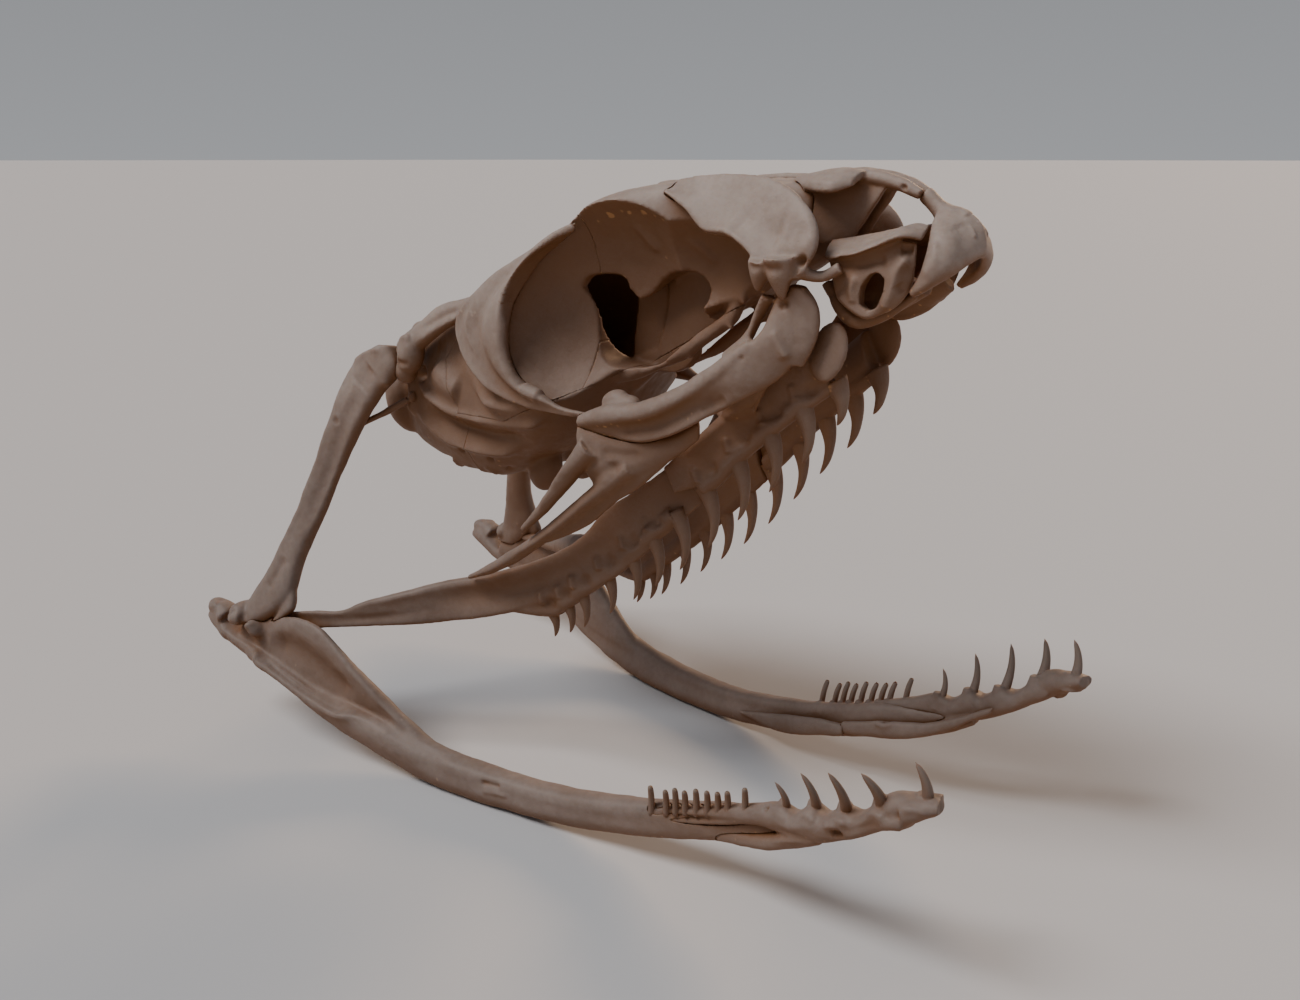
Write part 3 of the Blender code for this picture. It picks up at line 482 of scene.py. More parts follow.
def compound():
    lower = ("-49.4 12.9, -47 11.9, -43 10.3, -38 9, -31 6.9, -24 3.7, -15.6 1.2, -7.8 0, 0 0, 7.3 0.4, "
             "14.2 1.4, 21 2.8, 27.2 4.6, 34 6.9, 41 10.6")
    lip = ("-49.2 14.2, -47 15, -43 12.8, -38 11.4, -31 9.3, -24 7.4, -15.6 6.6, -7.8 5, 0 4.5, 7.3 4.7, "
           "14.2 5.7, 21 7.2, 27.2 9, 33 10.7, 41 11.6")
    body = blade(jaw_edge(lower, 0.3), jaw_edge(lip, 0.1, jaw_top_y),
                 [2.6, 3.8, 4.6, 3.8, 3.3, 3.4, 3.8, 4.0, 4.0, 3.8, 3.5, 2.9, 2.3, 1.9, 1.0], rows=110)
    crest_low = "-42 11, -36 9.5, -29 7, -22 5, -15 4, -9 3.5"
    crest_top = "-42 14, -37 15.6, -31.5 16.9, -27 16.6, -22.6 13.9, -17.8 10.2, -12 5.6"
    crest = blade(jaw_edge(crest_low, 1.0), jaw_edge(crest_top, 0.6, jaw_top_y),
                  [3.2, 2.2, 1.8, 1.8, 2.0, 1.6], rows=60)
    process = rod("-45.2 24 13.8, -47.4 24 15, -49.3 23.9 14.7", [1.9, 1.25, 0.95], flatten=0.85)
    cup_front = ball((-38.2, 23.9, 14.3), (1.2, 2.0, 1.6), (0, -35, 0))
    bone = fuse("compound", [body, crest, process, cup_front])
    cut_with(bone, [ball((-42.4, 23.7, 16.5), (2.9, 4.4, 2.7))])
    grain(bone, MEDIUM, 4)
    return sculpt(bone, marks("""
    # the long hollow for the jaw muscle, between the crest and the outer lip
    -36 25 13, -31 25 12.2, -26 24.4 10.2, -21 23.2 8.4 | 1.4 2.4 2.4 1 | -1.2 | 2.6 | out
    -37.8 25.6 11.8, -36.6 25.8 10.4, -34 25.8 9.6, -29 25.6 7.8, -23 24.2 6.5,
    -17.4 22.8 7.8 | 0.5 0.55 0.6 0.65 0.6 0.45 | 1 | 1.5
    -36 25.4 10.8, -31 25.4 9.2, -25 24.4 7.4, -20.6 23.4 6.9 | 0.5 | -0.5 | 2 | out
    -34.6 25.4 12.4, -29.4 25.2 10.8, -24.2 24.2 9 | 0.28 | 0.22 | 2 | out
    -34 25.2 13.6, -28.6 25 12, -24 24 10.2 | 0.25 | 0.16 | 2 | out
    # crest that runs down and forward from the hollow
    -33 24.2 16.8, -28 24.2 16.6, -24 23.6 14.8, -19 22.6 11, -14 21.6 7.8, -8 20.4 5.2 | 0.5 | 0.4 | 1.4
    -18 23 8.6, -12 21.9 5.6, -6 20.6 3.6 | 1 | -0.35 | 2 | out
    # rims of the joint's cup and the blunt process behind it
    -39 25.8 14.4, -37.6 25.6 15.4, -35.6 25.2 16.2, -33.6 25 16.8 | 0.45 | 0.45 | 1.6
    -45.6 25.6 15.4, -44.6 26.2 13.6, -42 26.2 12.6, -40 26.2 13.6 | 0.5 | 0.45 | 1.5
    -44.5 26.2 11.6, -39 26.2 10.2 | 1.1 | -0.4 | 2 | out
    -48.6 25.2 14.6, -46.6 25.4 15.8 | 0.6 | 0.35
    -47.2 24 16.1 | 0.9 | -0.35
    # small holes
    -33.6 25.4 13.8 | 0.3 | -0.8 | 4
    -0.8 20.4 3.4, 0.8 20.2 3.6, 2 19.9 3.7 | 0.36 | -0.5
    -0.6 20.2 2.4, 1.2 20 2.6, 3.2 19.8 2.7 | 0.3 | 0.2
    # faint furrows along the shaft
    -12 22.4 3.4, 0 20.3 2.8, 12 18.6 3.4, 26 16.9 6.2 | 0.8 | -0.18 | 2 | out
    -6 17 3.2, 6 15.4 3.4, 18 14.2 5, 28 13.6 7.2 | 0.9 | -0.35 | 2 | in
    """))


def dentary():
    top = [(19.2, 6.2), (25, 7.9), (30, 9.8), (35, 12.0), *hook_margin(), (54.6, 20.0)]
    under_side = points("19.2 5, 25 6.2, 30 7.7, 35 9.7, 40 10.4, 43.5 11.5, 47 13.4, 51 16.2, 54.6 18.7")
    low = [(x, float(np.interp(x, *zip(*under_side)))) for x, z in top]
    upper = blade(jaw_edge(low, -0.3), jaw_edge(top, -0.5),
                  [0.9, 1.5, 1.9, 2.4, 3.0, 3.1, 3.2, 3.3, 3.4, 3.2, 2.4], rows=120)
    under_top = "30 7, 36 9, 40 11.5, 43 13"
    under_low = "30 5.6, 36 7.2, 40 9.1, 43 10.9"
    under = blade(jaw_edge(under_low), jaw_edge(under_top), [0.9, 2.2, 3.0, 3.2], rows=50)
    knob = ball((53.9, 16.7, 19.1), (0.95, 1.1, 0.95), (0, -30, 0))
    lump = ball((50.9, jaw_y(50.9) + 0.2, 18.0), (2.2, 1.5, 1.4), (0, -30, 0))
    sockets_behind = [ball((x, jaw_y(x) + 0.6, peg_level(x)), (0.5, 0.5, 0.4), detail=3) for x in PEGS]
    collars = [rod([(x, jaw_y(x), z - 1.6), (x - 0.1, jaw_y(x) + 0.15, z + 0.35)],
                   [radius * 1.9, radius * 1.1], rows=10) for x, z, *_, radius in HOOKS]
    bone = fuse("dentary", [upper, under, knob, lump, *sockets_behind, *collars], voxel=FINE, polish=7)
    return sculpt(bone, marks("""
    44.8 18.4 13.3, 46 18.6 13.8 | 0.4 | -0.7 | 2.2
    44 18.4 14, 45.6 18.6 14.6 | 0.35 | 0.2
    46 18.8 14.2, 50 19 16.8 | 0.8 | -0.3 | 2 | out
    36 17.6 11.6, 40 18.2 12.2, 45 18.8 14.6, 50 19.3 17.4 | 0.5 | 0.2 | 2 | out
    36.2 17 12.6, 37 17 12.5 | 0.4 | -0.5
    22 16.2 6.3, 28 16.8 7.8, 34 17.4 9.7, 41 18 11.4 | 0.4 | -0.6 | 2 | out
    32 16.6 7.6, 37 17.2 9.2, 41.5 17.8 11.2 | 0.35 | 0.3 | 2 | out
    32.4 13.6 9.9, 33.6 13.7 10.3 | 0.55 | -0.8 | 2.4
    35.2 13.8 11.4, 40 14.4 12.6 | 0.5 | -0.4
    """) + [
        stroke([(x - 1.2, jaw_y(x) + 1.9, z - 1.0), (x, jaw_y(x) + 2.0, z - 0.5),
                (x + 1.2, jaw_y(x) + 1.9, z - 0.8)], 0.35, 0.2) for x, z, *_ in HOOKS])


def hook_margin():
    """Upper edge of the dentary's front: a rise at each tooth, a dip between."""
    line = []
    for one, two in zip(HOOKS, HOOKS[1:]):
        line.append((one[0], one[1] + 0.1))
        line.append((one[0] + 0.45 * (two[0] - one[0]), 0.6 * one[1] + 0.4 * two[1] - 0.65))
    return line + [(51.2, 19.3), (HOOKS[-1][0], HOOKS[-1][1] + 0.2)]


PEGS = [22.1, 24.0, 25.2, 26.4, 27.8, 29.2, 30.5, 31.7, 33.8]
HOOKS = [(38.2, 13.2, 37.9, 17.3, 15.9, 0.46), (41.8, 14.6, 41.3, 18.2, 18.4, 0.55),
         (45.3, 15.8, 44.9, 19.4, 20.2, 0.60), (49.2, 18.0, 48.5, 19.9, 21.6, 0.68),
         (53.1, 19.6, 52.5, 17.8, 23.2, 0.62)]


def peg_level(x):
    """Height of the dentary's edge under the pegs."""
    return 7.0 + 0.34 * (x - PEGS[0])


def dentary_teeth():
    """Upright pegs behind, then five larger teeth hooked backward."""
    teeth = []
    for k, x in enumerate(PEGS):
        y, base = jaw_y(x) + 0.8, peg_level(x)
        tall = (2.9, 2.4, 2.6, 2.3, 2.5, 2.3, 2.2, 2.3, 2.7)[k]
        teeth.append(rod([(x, y, base - 0.8), (x + 0.2, y + 0.3, base + tall * 0.5),
                          (x + 0.4, y + 0.7, base + tall - 0.12), (x + 0.42, y + 0.72, base + tall)],
                         [0.36, 0.34, 0.27, 0.08], rows=16, sides=14))
    for base_x, base_z, x, y, z, radius in HOOKS:
        root = (base_x, jaw_y(base_x) - 0.1, base_z - 1.4)
        teeth.append(tooth(root, (x, y, z), radius, (1.25, 0, 0.1), full=0.12))
    return teeth


def splenial():
    top = "27 7.1, 33 9, 39 10.7, 45.4 14.2"
    low = "27 5.6, 33 6.8, 39 9.1, 45.2 13.4"
    bone = fuse("splenial", [blade(jaw_edge(low, 1.8), jaw_edge(top, 1.8), [1.1, 1.3, 1.2, 0.6])],
                voxel=FINE, polish=4)
    return sculpt(bone, marks("""
    32.4 13.4 9.3, 33.4 13.5 9.7 | 0.5 | -0.7 | 2.4
    31.2 13.2 8.9, 32.6 13.2 8.5, 34.2 13.4 9.1 | 0.3 | 0.25
    """))


def angular():
    top = "11 3.2, 18 5, 23 6.3, 27.4 6.9"
    low = "11 2.7, 18 2.6, 23 3.9, 27.4 5.4"
    return fuse("angular", [blade(jaw_edge(low, 2.0), jaw_edge(top, 2.0), [0.6, 1.2, 1.3, 1.1])],
                voxel=FINE, polish=4)


# Suspension of the jaws

def quadrate():
    rear = ("-24.4 12.3 51, -27.6 12.6 49.4, -29.6 13.6 46.8, -31.2 15 42.5, -32.7 16.3 37.3, "
            "-35.2 18.5 29.4, -38 20.5 22.8, -41 22.6 17.6, -43.2 23.8 14.4")
    front = ("-22.4 12.2 51.2, -21.2 12.6 48.4, -23.4 13.8 45.2, -26 15 41.1, -28.6 16.2 35.9, "
             "-31.2 18.5 28.7, -33 20.2 24, -33.9 22.2 18.4, -38 23.4 14.4")
    shaft = blade(rear, front, [2.2, 3.0, 3.0, 2.7, 2.5, 2.6, 2.8, 3.2, 4.0], rows=80)
    flange = blade("-35.6 21.6 20, -35.2 22.6 17, -36.4 23.2 15.2",
                   "-33.6 21.2 20.4, -32.8 22.2 17.6, -34.6 22.8 15.8", 1.4, rows=24)
    foot = ball((-41.3, 24.0, 15.5), (1.6, 2.8, 1.6))
    bone = fuse("quadrate", [shaft, foot, flange], polish=6)
    return sculpt(bone, marks("""
    # a keel along the rear edge and a flat face in front of it
    -27.8 13.4 47.4, -30.2 15.8 41.6, -32 17.6 35.6, -34.6 19.8 28, -37.6 22 21.4 | 0.55 | 0.42 | 1.6 | rear
    -25.2 14.6 46.4, -28 16.6 40.6, -30.2 18.2 34, -32.8 20.2 27 | 1 | -0.4 | 2.6 | out
    -24.4 14 48.6, -26.2 14.8 46 | 1.3 | -0.45 | 2 | out
    -23.2 13.4 50.6, -25.6 13.6 50.2, -28.2 13.8 48.4 | 0.5 | 0.35 | 1.6
    -36.8 23.8 19.6, -34.8 21.8 24 | 0.7 | -0.35 | 2 | out
    -29.6 13.2 47.4 | 0.7 | 0.45
    -22.4 13.6 46.8 | 0.6 | 0.3
    -29.2 16.6 41.6 | 0.5 | -0.25 | 3 | out
    -42 26.2 15.2, -40.8 26.6 17 | 0.7 | -0.5
    -40.6 26 13.8, -39.8 26.2 16.4 | 0.5 | 0.3
    """))


def stapes():
    shaft = rod("-27.8 14.1 40.9, -25.4 12.5 42.2, -22.4 10.4 44.2", [0.42, 0.4, 0.45])
    plate = ball((-21.9, 9.9, 44.6), (0.5, 0.8, 0.8), detail=3)
    return fuse("stapes", [shaft, plate], voxel=0.1, polish=3)


def supratemporal():
    upper = "-21.4 10.6 52, -18 10.4 54.4, -15 10.2 56.4, -10.5 9.8 57.6, -7 9 58.8"
    lower = "-21.2 12 49.6, -17.6 11.9 51.4, -14 11.6 53.6, -11 11.2 55, -7.4 10 57.2"
    strap = blade(lower, upper, [2.6, 2.2, 1.8, 1.6, 0.9])
    knob = ball((-19.6, 11.8, 50.4), (1.7, 1.6, 2.6), (0, 18, 0))
    heel = ball((-20.8, 11.6, 48.2), (1.4, 1.4, 1.7), (0, 10, 0))
    bone = fuse("supratemporal", [strap, knob, heel], polish=6)
    return sculpt(bone, marks("""
    -17 12.4 53.6, -14.2 12 55.2, -11 11.4 56.4 | 0.5 | -0.35 | 1.8
    -17.4 12.8 52, -14 12.4 54, -11 11.8 55.4 | 0.35 | 0.3 | 1.4
    -21 12.6 52, -18.6 12.8 52.8 | 0.5 | 0.35
    -20.6 13.4 49.4, -18.6 13.4 49.2 | 0.4 | -0.4
    -17.8 12 55, -15.4 11.4 56.8 | 0.6 | 0.3
    """))


# Palate and upper jaws

def pterygoid():
    top = ("-36.6 22.8 16.3, -31 21.2 17.4, -26.6 19.6 18, -23.4 18 19.6, -18.6 15.2 21.4, -14 12.4 23, "
           "-8 10 24.8, -1 8.8 27.8, 4.4 8.2 31.2, 8 7.7 35.2, 11.6 7.2 37.8, 18.4 6.4 43")
    low = ("-36.4 22.8 14.9, -31 21.4 15.2, -26.8 19.8 15.8, -23.6 18.2 16.3, -19 15.4 16.8, "
           "-14.6 12.6 17.5, -8.6 10.4 19, -1.8 8.6 21.6, 3.4 8 23.8, 7 7.5 25.9, 10.4 7 28.4, 20.4 6 37.8")
    body = blade(top, low, [0.9, 1.3, 1.6, 2.0, 2.2, 2.4, 2.6, 2.5, 2.4, 2.3, 2.2, 1.0],
                 rows=110, camber=-0.5)
    ridge = rod([(-7.0, 9.6, 20.6), *[palatal_root(k, 0.96) for k in range(11, 4, -1)]],
                [0.7, 1.0, 1.1, 1.15, 1.15, 1.1, 1.1, 1.0], rows=60)
    bone = fuse("pterygoid", [body, ridge], polish=5)
    return sculpt(bone, marks("""
    -33 23 16.3, -27 20.9 16.9, -20 17.2 18, -13 13.6 19.6 | 0.5 | -0.4 | 1.8 | out
    -24 19.4 19.2, -16 14.8 21.6, -8 11.2 24.2, 2 9.8 29.4 | 0.45 | 0.35 | 1.5 | out
    -16 14.2 20, -6 11 22.6, 4 9.8 27.6, 12 8.8 33.6 | 1.5 | -0.6 | 2 | out
    -4 10.8 24.8, -1.6 10.6 26 | 0.6 | 0.25
    -1 10.4 25.2 | 0.35 | -0.35 | 3
    6 9.4 30.6, 9.4 9 33.2, 13.4 8.6 37 | 0.4 | 0.3 | 2 | out
    """) + palatal_marks(5, 12))


def palatine():
    top = "16.4 7.9 41.4, 21 6.9 46, 24.5 6 49.4, 28.8 5.2 52.8, 32.8 5 56.2"
    low = "17.6 7.5 38.6, 22 6.3 40.6, 26.2 5.5 44.2, 30.4 4.9 48.2, 34.4 4.2 52"
    body = blade(top, low, [0.7, 1.8, 2.2, 2.2, 2.2], rows=60, camber=-0.3)
    ridge = rod([palatal_root(k, 0.96) for k in range(4, -1, -1)], [1.2, 1.2, 1.2, 1.1, 0.8], rows=40)
    lobe = ball((34.6, 5.3, 55.2), (1.9, 0.7, 3.0), (8, 12, 0))
    inner = blade("20.5 4.6 47.6, 24.5 3 50.8, 28.6 2.6 54.4", "23 5.6 46.4, 27 4.8 49.4, 30.6 4.4 52.8", 1.0,
                  rows=30)
    process = blade("23 6.6 48, 25 8 51, 27.6 8.4 53.6", "26.4 6 47.4, 28.4 7.4 50.2, 30 8 52.6", 1.2,
                    rows=24)
    bone = fuse("palatine", [body, ridge, lobe, inner, process], polish=5)
    return sculpt(bone, marks("""
    20 8.2 41.4, 25 7.4 45.8, 30 6.2 50.8 | 1.2 | -0.5 | 2 | out
    19 7.8 43, 24 7.2 47.6, 29 6.4 52 | 0.4 | 0.35 | 2 | out
    """) + palatal_marks(0, 5))


def palatal_tips():
    """Tips of the palatal teeth and the teeth's lengths, from the snout back."""
    tips = smooth_through("34.8 3.5 47.8, 31.1 4.4 43.2, 27.2 4.9 39.4, 23.3 5.4 35.4, 19.4 5.8 31.5, "
                          "15.5 6.1 28.2, 12 6.2 25.6, 8.5 6.4 23, 4.4 7.1 20.2, 2 7.4 18.8, -0.6 7.6 17.6",
                          12)
    lengths = smooth_through([4.4, 6.4, 7.0, 7.2, 7.0, 6.6, 6.2, 5.6, 5.0, 4.4, 3.8], 12)[:, 0]
    return tips, lengths


def palatal_root(k, share=1.0):
    """Where tooth k stands in its bone; a smaller share lies nearer the tip."""
    tips, lengths = palatal_tips()
    x, y, z = tips[k]
    return np.array((x - 0.05 * lengths[k] * share, y + 0.5 * share, z + lengths[k] * share))


def palatal_marks(first, last):
    """A swelling over each palatal tooth and a dip between two."""
    roots = [palatal_root(k) for k in range(first, last)]
    swellings = [stroke([root + (-0.4, 1.2, 1.9), root + (0.1, 1.2, 0.2)], 0.5, 0.45, side="out")
                 for root in roots]
    dips = [stroke([0.5 * (one + two) + (0, 1.2, 0.1)], 0.75, -0.45) for one, two in zip(roots, roots[1:])]
    return swellings + dips


def palatal_teeth(first, last):
    """Hooked teeth along the palate, numbered from the snout back."""
    tips, lengths = palatal_tips()
    return [tooth(palatal_root(k), tips[k], 0.98 - 0.025 * k, (0.32 * lengths[k], 0, 0.2), wide=1.5)
            for k in range(first, last)]


def maxilla():
    top = ("8.4 12.5 46.6, 13 12.5 48.2, 16.8 12.2 49, 20.3 11.6 50.2, 23.6 11 52.3, 26.6 10.2 54.6, "
           "29.4 9.2 57.2, 30.6 8.4 60.4")
    low = ("8.6 12.2 45.6, 13 12 44.9, 16.8 11.7 44.9, 20.3 11.2 46, 23.6 10.6 48, 27 9.6 49.9, 31.4 7.8 53, "
           "34 7 57.4")
    plate = blade(top, low, [1.4, 1.8, 1.8, 1.8, 1.8, 1.9, 1.9, 1.5], rows=70)
    rim = rod("8.9 12.6 46.2, 13 12.6 47.3, 17 12.3 48, 21 11.6 49.8, 25 10.7 52.6, 28.6 9.5 55.8",
              [0.7, 1.2, 1.2, 1.15, 1.0, 0.7])
    front = blade("28.4 9.2 54.5, 29.8 8.6 58, 30.8 8.2 60.6, 31.8 7.8 61.6",
                  "33 7 53.8, 34.3 6.8 56.6, 34.4 6.9 59.4, 33.2 7.5 61.4", 1.7, rows=30)
    strut = rod("29.8 8.7 60.4, 28.5 8.4 58.4, 27.4 8.6 56.2, 25.4 9.4 54.2", [0.9, 0.75, 0.9, 0.9],
                flatten=0.6)
    knob = [ball((13.4, 11.3, 47.9), (2.7, 1.4, 1.4), (0, -22, 0)),
            ball((12.6, 11.2, 48.7), (1.7, 1.2, 1.1), (0, -22, 0))]
    bone = fuse("maxilla", [plate, rim, front, strut, *knob], polish=8)
    return sculpt(bone, marks("""
    14 13.2 45.6, 20 12.5 47.4, 27 10.6 51.4 | 0.9 | -0.55 | 2 | out
    14 13 44.8, 19 12.3 45.6, 25 10.9 48.8 | 0.4 | 0.3 | 2 | out
    31.6 9 59.8 | 0.5 | -0.6 | 3
    24 11.4 48.8, 26.4 10.6 50.4 | 0.5 | -0.3 | 2 | out
    30.6 9 57.4, 32 8.6 54.6 | 0.5 | 0.3 | 2 | out
    28 10.2 54.6 | 0.3 | -0.3 | 3
    """))


def ectopterygoid():
    head = blade("8.6 12.6 45.8, 12 12.2 45.4, 16 11.4 45.4, 19.5 10.6 45.8, 22.6 9.8 47.6",
                 "8.8 11.8 40.8, 12.4 11.2 39.2, 16.4 10.4 41.2, 19.6 9.8 43.4, 22.2 9.2 45.6",
                 [1.8, 2.4, 2.2, 1.8, 1.2], rows=40)
    inner_bar = rod("-10.4 12.2 24.2, -6.4 12 26.2, -2 11.8 28.9, 4 11.6 33.2, 10.8 11.3 38.7, 15 11 42",
                    [0.4, 0.85, 1.1, 1.2, 1.45, 1.6], flatten=0.7)
    outer_bar = rod("0.3 13.2 32.6, 3 13.1 35.2, 5.8 13 38.2, 8.2 12.8 41.2, 10.4 12.4 43.6",
                    [0.4, 0.72, 0.98, 1.35, 1.8], flatten=0.85)
    web = ball((11.6, 11.8, 41.4), (2.6, 1.2, 2.6), (0, -40, 0))
    skirt = blade("2.4 11.8 31.8, 7 11.5 35.4, 11 11.2 39, 15 10.9 42.2, 19 10.5 44.6",
                  "2.6 11.6 31, 8 10.9 33.9, 12.2 10.7 37.4, 15.4 10.5 39.6, 19.6 10.2 43.4",
                  [0.5, 0.9, 1.1, 1.3, 1.0], rows=50)
    bone = fuse("ectopterygoid", [head, inner_bar, outer_bar, web, skirt], polish=6)
    return sculpt(bone, marks("""
    3 14 35.6, 7 13.9 40.2, 9.8 13.4 43.6 | 0.4 | 0.25 | 1.5 | out
    8.6 12.9 38.6, 11 12.6 40.4, 14.6 12.2 42.6 | 0.6 | -0.45 | 2 | out
    12 13.4 43.2, 17 12.4 43.4 | 0.7 | -0.35 | 2 | out
    -2 12.9 28.8, 4.4 12.7 33.2, 11 12.5 38.6 | 0.35 | 0.25 | 2 | out
    """))


# Braincase

def braincase_whole():
    """Roof, walls and floor in one piece, before it is parted along its sutures."""
    wide, roof = BRAINCASE_HALF, ROOF_HALF
    stations = [(-30.0, 4.0, 49.6, 45.2, 40.6, 0.8, 0.7, 1.0), (-27.4, 7.4, 52.8, 45.4, 37.8, 0.7, 0.6, 1.0),
                (-23, 9.4, 54.8, 45.3, 36.4, 0.5, 0.5, 1.0), (-17, 10.2, 56.8, 45, 35.5, 0.45, 0.5, 1.0),
                (-10.5, 10.4, 59.4, 45.5, 35.2, 0.45, 0.5, 1.0), (-5, wide, 61.8, 48, 38.4, 0.55, 0.55, 0.9),
                (-1, wide + 1.1, 64.8, 50, 40.4, 0.75, 0.6, 0.8),
                (3, wide + 0.8, 67.0, 51.5, 43.4, 0.55, 0.8, 0.7),
                (6.5, wide - 0.2, 68.8, 54, 48.2, 0.35, 1.2, 0.4), (10, 10.2, 69.9, 57, 51.2, 0.3, 1.3, 0.3),
                (15, 8.2, 70.6, 61, 54.4, 0.25, 1.2, 0.3), (19, roof, 70.8, 63, 56.8, 0.25, 1.0, 0.35),
                (23, roof - 0.7, 70.9, 65, 59.0, 0.25, 0.9, 0.4),
                (28, roof - 1.5, 70.8, 66, 61.6, 0.3, 0.8, 0.5), (31, 3.8, 70.4, 66.6, 63.4, 0.4, 0.8, 0.7)]
    shell = skin(oval_rings(stations, 150))
    process = [ball((-5.6, side * 3.4, 36.8), (2.2, 1.8, 2.9), (0, 25, 0)) for side in (1, -1)]
    rostrum = rod("-3 0 43.4, 4 0 48.4, 12 0 53.8, 20 0 58.8, 27 0 62.2", [3.4, 2.1, 1.5, 1.3, 0.9])
    condyle = ball((-29.8, 0, 43.8), (2.0, 2.4, 2.0))
    flanks = [ball((-27.0, side * 6.4, 43.4), (3.2, 3.0, 4.6), (0, -15, 0)) for side in (1, -1)]
    ledge = points("5 4.4 49.6, 8.5 3.8 50.2, 12.7 3.4 52, 15.6 3.2 53.2, 18.5 3 55.2, 21.3 2.8 57.2, "
                   "22.7 2.6 59.4, 25.4 2.4 60.6")
    ledges = [rod([(x, side * y, z) for x, y, z in ledge], [1.1, 1.0, 0.95, 0.9, 0.8, 0.8, 0.65, 0.6])
              for side in (1, -1)]
    spurs = [rod([(x, side * 3.0, z), (x + 1.1, side * 3.7, z - 1.2)], [0.65, 0.15], rows=12)
             for side in (1, -1) for x, z in ((15.8, 53.4), (21.0, 57.0), (22.6, 59.6))]
    whole = fuse("braincase", [shell, *process, *flanks, rostrum, condyle, *ledges, *spurs],
                 voxel=COARSE, polish=9)
    great_hole = rod("-34 0 48.2, -29 0 47.8, -24 0 48", [2.3, 2.1, 1.3])
    cut_with(whole, [*sockets(), *optic_windows(), cavity(), great_hole])
    cut_with(whole, septum(), "UNION")
    grain(whole, COARSE, 2)
    sculpt(whole, braincase_marks(), both_sides=True)
    return whole


